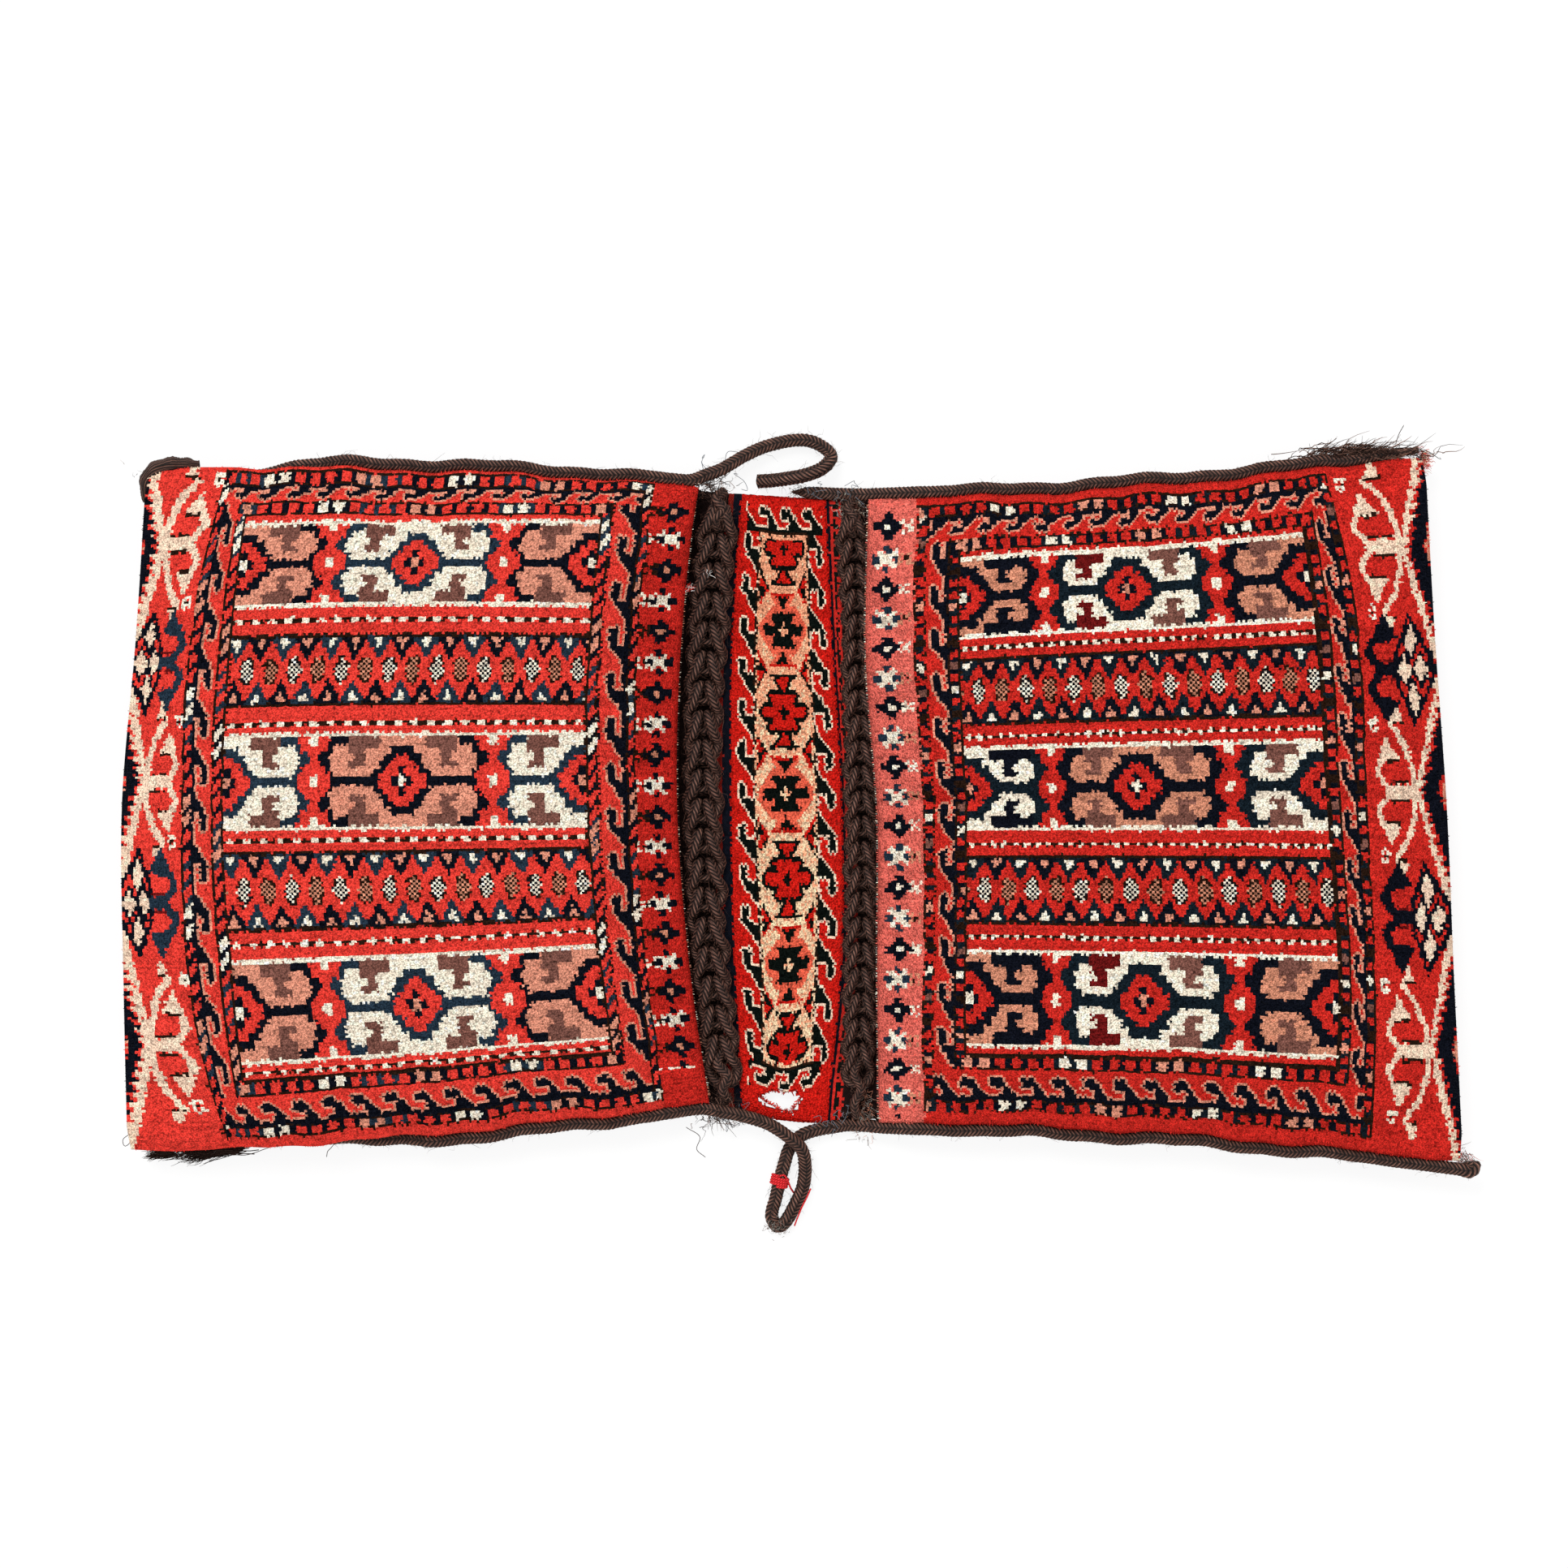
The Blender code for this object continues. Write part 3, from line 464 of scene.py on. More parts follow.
def pouch_design(panel, columns, rows, left):
    """The whole knotted face of one pouch, painted from its grounds to its small figures."""
    red = "red" if left else "deep_red"
    p, q = panel.p, panel.q
    (a0, a1), (b0, b1) = columns["outer_chequers"]
    (c0, c1), (d0, d1) = columns["hooks"]
    (e0, e1), (g0, g1) = columns["inner_chequers"]
    f0, f1 = columns["field"]
    s0, s1 = columns["strip"]
    row = rows["chequers"]
    tones = [red, red, red, "cream", "cream", red, red, red, red, "peach", "peach", red]
    darks = ("navy", "teal" if left else "sea", "navy")
    frame_p = (a0 - 2.5, b1 + 2.5)
    # Outer chequers, hooks and inner chequers as nested frames, each between thin dark lines
    panel.dye(panel.box(*frame_p, row[0][0] - 2.5, row[3][1] + 2.5), "line")
    for q0, q1 in (row[0], row[3]):
        chequers(panel, panel.box(a0, b1, q0, q1), p, 19.5, tones, darks)
    lean = 1.3 if left else 0.0
    upright = [red, "line", red, "cream", red, "brown", red, "line", red, red, "peach", red]
    upright = tones if left else upright
    tall = 22.0 if left else 16.0
    for p0, p1 in ((a0, a1), (b0, b1)):
        chequers(panel, panel.box(p0, p1, row[0][1], row[3][0]), q + lean * (p - p0), tall, upright, darks, 7)
    (h0, h1), (k0, k1) = rows["hooks"]
    panel.dye(panel.box(a1 + 2, b0 - 2, h0, k1), "navy")
    hooks(panel, panel.box(c0, d1, h0, h1), p, (h1 - q) / (h1 - h0), 37.0, 9, body=red)
    hooks(panel, panel.box(c0, d1, k0, k1), p, (q - k0) / (k1 - k0), 37.0, 3, body=red)
    near = (c1 - p) / (c1 - c0) if left else (p - c0) / (c1 - c0)
    hooks(panel, panel.box(c0, c1, h1, k0), -q if left else q, near, 59.0 if left else 56.0, 20, body=red)
    hooks(panel, panel.box(d0, d1, h1, k0), q, (p - d0) / (d1 - d0), 56.0, 10, body=red)
    panel.dye(panel.box(e0 - 2.5, g1 + 2.5, row[1][0] - 2.5, row[2][1] + 2.5), "line")
    for q0, q1 in (row[1], row[2]):
        chequers(panel, panel.box(e0, g1, q0, q1), p, 19.5, tones[::-1], darks, 4)
    for p0, p1 in ((e0, e1), (g0, g1)):
        area = panel.box(p0, p1, row[1][1], row[2][0])
        chequers(panel, area, q + lean * (p - p0), tall - 1, upright[::-1], darks, 2)
    # The field and its bands
    field = panel.box(f0, f1, row[1][1] + 2.5, row[2][0] - 2.5)
    panel.dye(field, red)
    for q0, q1 in rows["creams"]:
        panel.dye(panel.box(f0, f1, q0, q1), "cream")
    for q0, q1 in rows["lines"]:
        panel.dye(panel.box(f0, f1, q0 - 0.8, q1 + 0.8), "line")
    for q0 in rows["dashes"]:
        dash_line(panel, field, q0, f0 + 3, 20.5 if left else 13.6)
    for n, (q0, q1) in enumerate(rows["bands"]):
        area = panel.box(f0, f1, q0, q1)
        centres = (281, 496, 718) if left else (1195, 1402, 1631)
        medallions(panel, area, (q0 + q1) / 2, (q1 - q0) / 2, centres, n != 1, left)
    for q0, q1 in rows["diamonds"]:
        diamonds(panel, panel.box(f0, f1, q0, q1), q0, q1, f0 + 7, "teal" if left else "sea")
    # The flower strip beside the mouth
    beside = panel.box(s0, s1 + 20, 0, ANYWHERE) if left else panel.box(s0 - 20, s1, 0, ANYWHERE)
    panel.dye(beside, "deep_red" if left else "rose")
    flower_strip(panel, s0, s1, 624 if left else 631, 1330 if left else 1370, left)
    # The end panel
    if left:
        at = [(192, 664), (192, 810), (192, 959), (192, 1104), (191, 1269)]
        panel.dye(panel.box(0, columns["elem"][1], 0, ANYWHERE), red)
    else:
        at = [(1729, 697), (1723, 838), (1729, 977), (1727, 1123), (1729, 1279)]
        panel.dye(panel.box(columns["elem"][0], ANYWHERE, 0, ANYWHERE), red)
    end_panel(panel, columns, rows, at, -1 if left else 1)


def bridge_design(panel):
    """The strip between the pouches: hooks down both sides and a pale panel of stepped crosses."""
    p, q = panel.p, panel.q
    for p0, p1, yarn in ((800, 881, "weave_dark"), (881, 889, "weave_red"), (889, 900, "navy")):
        panel.dye(panel.box(p0, p1, 0, ANYWHERE), yarn)
    # Rows of hooks: their box, the run along them, their share across, pitch, shift and form
    side, end = ((0.22, 0.48), 2.0), ((0.20, 0.48), 0.88)
    for box, run, share, pitch, shift, form in (
            ((905, 931, 612, 1340), q, (p - 905) / 26.0, 51.8, 21, side),
            ((1007, 1034, 625, 1330), -q, (1034 - p) / 27.0, 51.8, 15, side),
            ((912, 1030, 612, 650), p, (q - 612) / 36.0, 36.0, 9, end),
            ((912, 1022, 1309, 1340), p, (1340 - q) / 30.0, 36.0, 16, end)):
        hooks(panel, panel.box(*box), run, share, pitch, shift, "bottle", "bridge_red", "shell", *form)
    panel.dye(panel.box(929, 1008, 647, 1311), "line")
    panel.dye(panel.box(931, 1006, 651, 1307), "ivory")
    faded = np.interp(q, [650, 840, 930, 1080, 1300], [0.95, 0.85, 0.50, 0.25, 0.35])
    mixed = np.random.default_rng(SEED + 12).random(p.shape) < faded
    pitch, first, centre = 103.6, 667.0, 968.5
    k = np.round((q - first) / pitch).astype(int)
    x, y = np.abs(p - centre), np.abs(q - first - k * pitch)
    field = panel.box(933.5, 1003.5, 656, 1303)
    cross = stepped(x, y, [(7, 28), (12, 13), (17, 15), (22, 18)])
    tip = (y > 26) & (y < 43) & (x < 10 * (y - 26) / 16.0)
    side = (x > 21 + np.abs(y - 51.8) * 0.60) & (y > 26)
    for parity in (0, 1):
        this = field & (k % 2 == parity)
        dark = parity == 1
        fill, band = ("bottle", "coral") if dark else ("bridge_red", "bottle")
        panel.dye(this & side, "bridge_red" if dark else "bottle")
        panel.dye(this & (x > 25 + np.abs(y - 51.8) * 0.60) & (y > 30), fill)
        ring = grown(grown(grown(cross | tip))) if dark else grown(grown(cross | tip))
        panel.dye(this & ring, band)
        panel.dye(this & (x < 19) & (y > 43) & (y < 47), band if not dark else "bridge_red")
        panel.dye(this & (x < 20) & (y >= 47), "ivory")
        panel.dye(this & (cross | tip), fill)
        panel.dye(this & (((x < 2) & (y < 9)) | ((x < 6.5) & (y < 2.5))), "ivory" if dark else "bottle")
    panel.dye(mixed & (panel.yarn == YARN_NAMES.index("ivory")), "apricot")
    for p0, p1, yarn in ((1038, 1041, "navy"), (1041, 1044, "deep_red"), (1044, 1047, "bottle"),
                         (1047, 1051, "deep_red"), (1051, 1120, "weave_dark")):
        panel.dye(panel.box(p0, p1, 0, ANYWHERE), yarn)


def knot_colours(panel, seed):
    """Light of each knot: its yarn, streaked along the rows as hand-dyed wool is, and a little by chance."""
    rng = np.random.default_rng(seed)
    table = linear(np.array([YARNS[name] for name in YARN_NAMES]))
    colour = table[panel.yarn]
    rows, columns = panel.yarn.shape
    streak = 1 + 0.06 * rng.standard_normal((rows, 1)) + 0.15 * rng.standard_normal((rows, columns))
    return np.clip(colour * streak[..., None], 0, 1)


def mesh_piece(name, points, faces, materials, uv=None, colours=None, slots=None):
    """A mesh object at the origin, from arrays of points and of faces with three or four corners."""
    mesh = bpy.data.meshes.new(name)
    sizes = np.concatenate([np.full(len(f), f.shape[1]) for f in faces])
    corners = np.concatenate([f.ravel() for f in faces]).astype(np.int32)
    mesh.vertices.add(len(points))
    mesh.vertices.foreach_set("co", np.asarray(points, np.float32).ravel())
    mesh.loops.add(len(corners))
    mesh.loops.foreach_set("vertex_index", corners)
    mesh.polygons.add(len(sizes))
    starts = np.concatenate([[0], np.cumsum(sizes)[:-1]])
    mesh.polygons.foreach_set("loop_start", starts.astype(np.int32))
    mesh.polygons.foreach_set("loop_total", sizes.astype(np.int32))
    mesh.update(calc_edges=True)
    for material in materials:
        mesh.materials.append(material)
    if slots is not None:
        mesh.polygons.foreach_set("material_index", np.asarray(slots, np.int32))
    mesh.polygons.foreach_set("use_smooth", np.full(len(sizes), True))
    if uv is not None:
        layer = mesh.uv_layers.new(name="weave")
        layer.data.foreach_set("uv", np.asarray(uv, np.float32).ravel())
    if colours is not None:
        layer = mesh.color_attributes.new(name="dye", type="FLOAT_COLOR", domain="CORNER")
        dyes = np.ones((len(corners), 4), np.float32)
        dyes[:, :3] = np.repeat(colours, sizes, axis=0)
        layer.data.foreach_set("color", dyes.ravel())
    mesh.validate()
    made = bpy.data.objects.new(name, mesh)
    bpy.context.scene.collection.objects.link(made)
    return made


def grid_faces(index):
    """Quads between the neighbours of a grid, facing up where x and y both rise.

    The grid holds vertex numbers, or the map places of the vertices.
    """
    corners = [index[:-1, :-1], index[:-1, 1:], index[1:, 1:], index[1:, :-1]]
    return np.stack(corners, 2).reshape(-1, 4, *index.shape[2:])


def resampling(count, share):
    """The weights that read a smooth curve through evenly spaced values at the given shares."""
    return np.stack([through(one, share) for one in np.eye(count)], 1)


def filled_cloth(top, under):
    """How far the cloth of a stuffed pouch moves when it fills: a coarse closed copy, pressed from inside.

    Its edges are held, its cloth is a little too long for its place, and it runs for some frames without
    gravity. It returns the moves of the upper and the under grid.
    """
    rows, columns = top.shape[:2]
    index = np.arange(rows * columns).reshape(rows, columns)
    below = index.copy()
    within = (rows - 2, columns - 2)
    below[1:-1, 1:-1] = rows * columns + np.arange(within[0] * within[1]).reshape(within)
    points = np.concatenate([top.reshape(-1, 3), under[1:-1, 1:-1].reshape(-1, 3)])
    made = mesh_piece("cloth_form", points, [grid_faces(index), grid_faces(below)[:, ::-1]], [])
    held = made.vertex_groups.new(name="held")
    rim_points = np.unique(np.concatenate([index[0], index[-1], index[:, 0], index[:, -1]]))
    held.add(rim_points.tolist(), 1.0, "REPLACE")
    cloth = made.modifiers.new("Cloth", "CLOTH")
    given = cloth.settings
    given.quality = 6
    given.mass = 0.25
    given.vertex_group_mass = "held"
    given.use_pressure = True
    given.uniform_pressure_force = 4.0
    given.shrink_min = -0.035
    given.tension_stiffness = given.compression_stiffness = 20.0
    given.shear_stiffness = 8.0
    given.bending_stiffness = 0.6
    given.effector_weights.gravity = 0.0
    cloth.collision_settings.use_collision = False
    cloth.collision_settings.use_self_collision = False
    cloth.point_cache.frame_start, cloth.point_cache.frame_end = 1, CLOTH_FRAMES
    scene = bpy.context.scene
    for frame_number in range(1, CLOTH_FRAMES + 1):
        scene.frame_set(frame_number)
    found = made.evaluated_get(bpy.context.evaluated_depsgraph_get())
    moved = np.empty(len(points) * 3, np.float32)
    found.data.vertices.foreach_get("co", moved)
    scene.frame_set(1)
    mesh = made.data
    bpy.data.objects.remove(made)
    bpy.data.meshes.remove(mesh)
    move = np.clip(moved.reshape(-1, 3) - points, -MOST_MOVE, MOST_MOVE)
    return move[index], move[below]


def pile_tips(name, grid, colours, outward, seed):
    """Single tufts that stand up from the face, and a fringe of them over its three free edges.

    They root in random knots of the grid and take each knot's own dye, a little lighter or darker.
    """
    rng = np.random.default_rng(seed)
    middle = (grid[1:, 1:] + grid[:-1, :-1] + grid[1:, :-1] + grid[:-1, 1:]) / 4
    across, down = grid[:-1, 1:] - grid[:-1, :-1], grid[1:, :-1] - grid[:-1, :-1]
    normal = np.cross(across, down)
    normal /= np.linalg.norm(normal, axis=2, keepdims=True)
    rows, columns = middle.shape[:2]
    i, j = rng.integers(1, rows - 1, TIPS), rng.integers(1, columns - 1, TIPS)
    leaning = normal[i, j] + rng.normal(0, 0.35, (TIPS, 3))
    sets = [(i, j, leaning, rng.uniform(0.0028, 0.0044, TIPS))]
    edges = ((0, columns, (0, -1, 0.1)), (rows - 1, columns, (0, 1, 0.1)), (None, rows, (outward, 0, 0.1)))
    for at, number, way in edges:
        count = number * FRINGE
        deep = rng.integers(0, 3, count)
        if at is None:
            i, j = rng.integers(0, rows, count), (columns - 1 - deep if outward > 0 else deep)
        else:
            i, j = np.abs(at - deep), rng.integers(0, columns, count)
        leaning = np.array(way, float) + 0.5 * normal[i, j] + rng.normal(0, 0.3, (count, 3))
        sets.append((i, j, leaning, rng.uniform(0.0016, 0.0030, count)))
    i, j, ways, lengths = (np.concatenate([one[n] for one in sets]) for n in range(4))
    ways /= np.linalg.norm(ways, axis=1, keepdims=True)
    dyes = np.clip(colours[i, j] * rng.normal(1.0, 0.22, (len(i), 1)), 0.003, 1)
    thick = 0.0012
    return wisps(name, middle[i, j] - ways * thick, ways, lengths, thick, 0.15, 1, seed, dyes, 0.55)


def seam_pull(y, x, v, faded):
    """A cloth's places y with its side edges moved a little past the seam, onto the cord sewn along it.

    Each row moves by the square of 1 less its faded share, which grows with its share of the width.
    """
    for edge, row, share in ((-1, 0, v), (1, -1, 1 - v)):
        move = rim(edge, x[row])[0] + edge * OVERLAP - y[row]
        y = y + move[None, :] * (np.clip(1 - faded(share), 0, 1) ** 2)[:, None]
    return y


def flipped(faces, flip):
    """Faces with their corners the other way round where that is wanted."""
    return faces[:, ::-1] if flip else faces


def pouch_piece(name, down, along, columns, rows, left, materials):
    """One stuffed pouch: a fine grid of knots on its face and a coarser plain back, sewn round the edge."""
    settings = bpy.context.scene.saddle_bag
    step = settings.knot / UNIT
    p_low, p_high = down[0][0], down[-1][0]
    q_top, q_bottom = rows["ends"]
    across = int(round((p_high - p_low) / step / 2)) * 2
    high = int(round((q_bottom - q_top) / step / 2)) * 2
    p = np.linspace(p_low, p_high, across + 1)
    q = np.linspace(q_bottom, q_top, high + 1)  # rows run from the -Y edge to the +Y edge
    u = (p - p_low) / (p_high - p_low)
    v = (q_bottom - q) / (q_bottom - q_top)
    x = (laid(p, 1 - v, down) - ORIGIN[0]) * UNIT
    y = (ORIGIN[1] - laid(q, u, along).T) * UNIT
    length = abs(x[high // 2, -1] - x[high // 2, 0])
    y = seam_pull(y, x, v, lambda share: share * NOMINAL_WIDTH / SEAM_REACH)
    # The outer corners draw in, most at their points
    near_end = np.clip(1 - (u if left else 1 - u) * length / CORNER_REACH, 0, 1)[None, :]
    for share, way in ((v, 1.0), (1 - v, -1.0)):
        near_side = np.clip(1 - share * NOMINAL_WIDTH / CORNER_REACH, 0, 1)[:, None]
        pull = CORNER_PULL * (near_end * near_side) ** 1.3
        x = x + pull * (1 if left else -1)
        y = y + pull * way
    a = (1 - u if left else u)[None, :] * np.ones((high + 1, 1))
    vv = v[:, None] * np.ones((1, across + 1))
    upper, lower = pouch_heights(a, vv, length)
    some = np.ix_(*(np.round(np.linspace(0, 1, n) * cells).astype(int)
                    for n, cells in zip(CLOTH_GRID, (high, across))))
    rise, drop = filled_cloth(*(np.stack([g[some] for g in (x, y, z)], -1) for z in (upper, lower)))
    back_v, back_u = resampling(CLOTH_GRID[0], v), resampling(CLOTH_GRID[1], u)
    x, y, upper = (g + way * (back_v @ rise[..., n] @ back_u.T)
                   for n, (g, way) in enumerate(((x, SIDEWAYS), (y, SIDEWAYS), (upper, 1.0))))
    lower = np.clip(lower + back_v @ drop[..., 2] @ back_u.T, LOWEST, None)
    # The design was read from above: cloth nearer the eye covers the same places a little further in
    nearer = np.clip(upper - SEAM, 0, None) / EYE[2]
    x, y = x - (x - EYE[0]) * nearer, y - (y - EYE[1]) * nearer
    rng = np.random.default_rng(SEED + (0 if left else 1))
    upper += settings.pile_lift * np.clip(np.minimum(vv, 1 - vv) * 40, 0, 1) * np.clip((1 - a) * 40, 0, 1)
    inner = np.zeros_like(x)
    inner[1:-1, 1:-1] = 1
    x, y, upper = (g + inner * rng.normal(0, UNEVEN, x.shape) for g in (x, y, upper))
    top = np.stack([x, y, upper], -1)
    # The back: every other knot, with its first columns bent down the wall of the mouth
    # and the rest spread from the foot of that wall to the end
    ci, cj = np.arange(2, high - 1, 2), np.arange(2, across - 1, 2)
    back = np.stack([x, y, lower], -1)[np.ix_(ci, cj)]
    view = back[:, ::-1] if left else back
    t = np.arange(1, MOUTH_WALL + 1) / (MOUTH_WALL + 1)
    lip = top[ci, -1 if left else 0]
    inward = -1 if left else 1
    wall = view[:, :MOUTH_WALL]
    wall[..., 0] = lip[:, None, 0] + inward * (0.0022 * np.sin(t * np.pi / 2) + 0.001)[None, :]
    wall[..., 1] = lip[:, None, 1]
    wall[..., 2] = lip[:, None, 2] * (1 - t)[None, :] + LOWEST
    spread = view[:, MOUTH_WALL:, 0]
    first = lip[:, 0] + inward * 0.005
    last = spread[:, -1]
    share = np.linspace(0, 1, spread.shape[1])
    view[:, MOUTH_WALL:, 0] = first[:, None] + (last - first)[:, None] * share[None, :]
    points = np.concatenate([top.reshape(-1, 3), back.reshape(-1, 3)])
    index = np.arange(x.size).reshape(x.shape)
    coarse = np.full((high // 2 + 1, across // 2 + 1), -1)
    coarse[1:-1, 1:-1] = index.size + np.arange(back[..., 0].size).reshape(back.shape[:2])
    face_quads = grid_faces(index)
    back_quads = grid_faces(coarse[1:-1, 1:-1])[:, ::-1]
    triangles = []

    def strip(edge, inner_line, flip):
        """Triangles between the fine edge and the coarse line inside it."""
        e0, e1, e2 = edge[2:-4:2], edge[3:-3:2], edge[4:-2:2]
        i0, i1 = inner_line[:-1], inner_line[1:]
        made = np.concatenate([np.stack(t, -1) for t in ((e0, e1, i0), (e1, i1, i0), (e1, e2, i1))])
        triangles.append(flipped(made, flip))

    strip(index[0], coarse[1, 1:-1], True)
    strip(index[-1], coarse[-2, 1:-1], False)
    strip(index[:, 0], coarse[1:-1, 1], False)
    strip(index[:, -1], coarse[1:-1, -2], True)
    corner_sets = ((index[0, :3], index[:3, 0], coarse[1, 1], True),
                   (index[0, ::-1][:3], index[:3, -1], coarse[1, -2], False),
                   (index[-1, :3], index[::-1, 0][:3], coarse[-2, 1], False),
                   (index[-1, ::-1][:3], index[::-1, -1][:3], coarse[-2, -2], True))
    for row, column, middle, flip in corner_sets:
        made = np.array([(row[1], row[2], middle), (row[0], row[1], middle), (middle, column[1], row[0]),
                         (middle, column[2], column[1])])
        triangles.append(flipped(made, flip))
    triangles = np.concatenate(triangles)
    ground = "red" if left else "deep_red"
    panel = Panel((p[1:] + p[:-1]) / 2, (q[1:] + q[:-1]) / 2, ground, SEED + 90 + left)
    pouch_design(panel, columns, rows, left)
    face_colours = knot_colours(panel, SEED + 5 + left).reshape(-1, 3)
    plain = len(back_quads) + len(triangles)
    colours = np.concatenate([face_colours, np.tile(linear(YARNS["weave_red"]), (plain, 1))])
    slots = np.concatenate([np.zeros(len(face_quads)), np.ones(plain)])
    made = mesh_piece(name, points, [face_quads, back_quads, triangles], materials, colours=colours,
                      slots=slots)
    tips = pile_tips(name + "_pile", top, face_colours.reshape(high, across, 3), -1.0 if left else 1.0,
                     SEED + 70)
    return made, tips


def slab_faces(keep, top, under):
    """Quads of a slab's two faces where cells are kept, and of the walls round every edge of them."""
    rows, columns = keep.shape
    quads = grid_faces(top)[keep.ravel()]
    below = grid_faces(under)[keep.ravel()][:, ::-1]
    wide = np.zeros((rows + 2, columns + 2), bool)
    wide[1:-1, 1:-1] = keep
    walls = []
    for differs, flips, step in ((wide[1:, 1:-1] != wide[:-1, 1:-1], wide[1:, 1:-1], (0, 1)),
                                 (wide[1:-1, 1:] != wide[1:-1, :-1], ~wide[1:-1, 1:], (1, 0))):
        i, j = np.nonzero(differs)
        a, b = (i, j), (i + step[0], j + step[1])
        made = np.stack([top[a], top[b], under[b], under[a]], -1)
        made[flips[a]] = made[flips[a]][:, ::-1]
        walls.append(made)
    return quads, below, np.concatenate(walls)


def bridge_piece(materials):
    """The knotted strip over the saddle and the plain cloth beside it, worn through at one end."""
    across, high = 110, 240  # its knots
    p = np.linspace(829, 1094, across + 1)
    q = np.linspace(1372, 602, high + 1)
    u, v = (p - p[0]) / (p[-1] - p[0]), (q[0] - q) / (q[0] - q[-1])
    px, py = laid(p, 1 - v, BRIDGE_DOWN), laid(q, u, BRIDGE_ALONG).T
    rng = np.random.default_rng(SEED + 9)
    # Plain cloth on both sides and pile between, a little wavy and thin at both seams
    pile = np.clip((p - 898) / 2.5, 0, 1) * np.clip((1040 - p) / 2.5, 0, 1)
    z = np.where(p < 889, 0.0072, np.where(p > 1039, 0.0082, 0.0084)) + (PILE - 0.0078) * pile
    z = z[None, :] + 0.0006 * np.sin(py / 23.0 + px / 61.0) + rng.normal(0, 0.0002, px.shape)
    edge = np.clip(np.minimum(v, 1 - v) * 90, 0, 1)[:, None]
    z = z * (0.55 + 0.45 * edge ** 0.5)
    x, y = (px - ORIGIN[0]) * UNIT, (ORIGIN[1] - py) * UNIT
    y = seam_pull(y, x, v, lambda share: share * 9)
    x[1:-1, 1:-1] += rng.normal(0, 0.00018, x.shape)[1:-1, 1:-1]
    y = y + rng.normal(0, 0.00018, y.shape)
    middles = [(g[1:, 1:] + g[:-1, :-1]) / 2 + rng.normal(0, 1.1, (high, across)) for g in (px, py)]
    worn = inside(*middles, WORN_HOLE)
    top = np.stack([x, y, z], -1).reshape(-1, 3)
    under = np.stack([x, y, np.full(x.shape, 0.0006)], -1).reshape(-1, 3)
    index = np.arange(x.size).reshape(x.shape)
    face, back, walls = slab_faces(~worn, index, index + x.size)
    panel = Panel((p[1:] + p[:-1]) / 2, (q[1:] + q[:-1]) / 2, "bridge_red", SEED + 92)
    bridge_design(panel)
    face_colours = knot_colours(panel, SEED + 8).reshape(-1, 3)[(~worn).ravel()]
    plain = len(back) + len(walls)
    colours = np.concatenate([face_colours, np.tile(linear(YARNS["weave_red"]), (plain, 1))])
    woven = ((panel.p < 900) | (panel.p > 1038))[~worn]
    slots = np.concatenate([woven.ravel(), np.ones(plain)])
    return mesh_piece("bridge_strip", np.concatenate([top, under]), [face, back, walls], materials,
                      colours=colours, slots=slots)


def smooth_route(points, spacing):
    """A smooth curve through the points, read at even steps.

    Its knots are spaced by the square root of the chords, and each place between two points is blended
    in three rounds from the lines through the points beside it.
    """
    p = np.array(points, float)
    p = np.vstack([2 * p[0] - p[1], p, 2 * p[-1] - p[-2]])
    knots = np.concatenate([[0.0], np.cumsum(np.sqrt(np.linalg.norm(np.diff(p, axis=0), axis=1)))])
    fine = []
    for i in range(1, len(p) - 2):
        t = np.linspace(knots[i], knots[i + 1], 24, endpoint=i == len(p) - 3)[:, None]
        k0, k1, k2, k3 = knots[i - 1:i + 3]
        a1 = ((k1 - t) * p[i - 1] + (t - k0) * p[i]) / (k1 - k0)
        a2 = ((k2 - t) * p[i] + (t - k1) * p[i + 1]) / (k2 - k1)
        a3 = ((k3 - t) * p[i + 1] + (t - k2) * p[i + 2]) / (k3 - k2)
        b1 = ((k2 - t) * a1 + (t - k0) * a2) / (k2 - k0)
        b2 = ((k3 - t) * a2 + (t - k1) * a3) / (k3 - k1)
        fine.append(((k2 - t) * b1 + (t - k1) * b2) / (k2 - k1))
    fine = np.vstack(fine)
    along = np.concatenate([[0.0], np.cumsum(np.linalg.norm(np.diff(fine, axis=0), axis=1))])
    count = max(4, int(round(along[-1] / spacing)))
    at = np.linspace(0.0, along[-1], count + 1)
    return np.column_stack([np.interp(at, along, fine[:, k]) for k in range(3)])


def carried_frames(route):
    """The direction of a route at each of its points and two directions across it, without twist.

    Each direction across is the one before it less its part along the route.
    """
    tangent = np.gradient(route, axis=0)
    tangent /= np.linalg.norm(tangent, axis=1, keepdims=True)
    normal = np.array((0.0, 0.0, 1.0))
    normals = np.empty_like(route)
    for i, t in enumerate(tangent):
        normal = normal - t * (normal @ t)
        normal /= np.linalg.norm(normal)
        normals[i] = normal
    return tangent, normals, np.cross(tangent, normals)


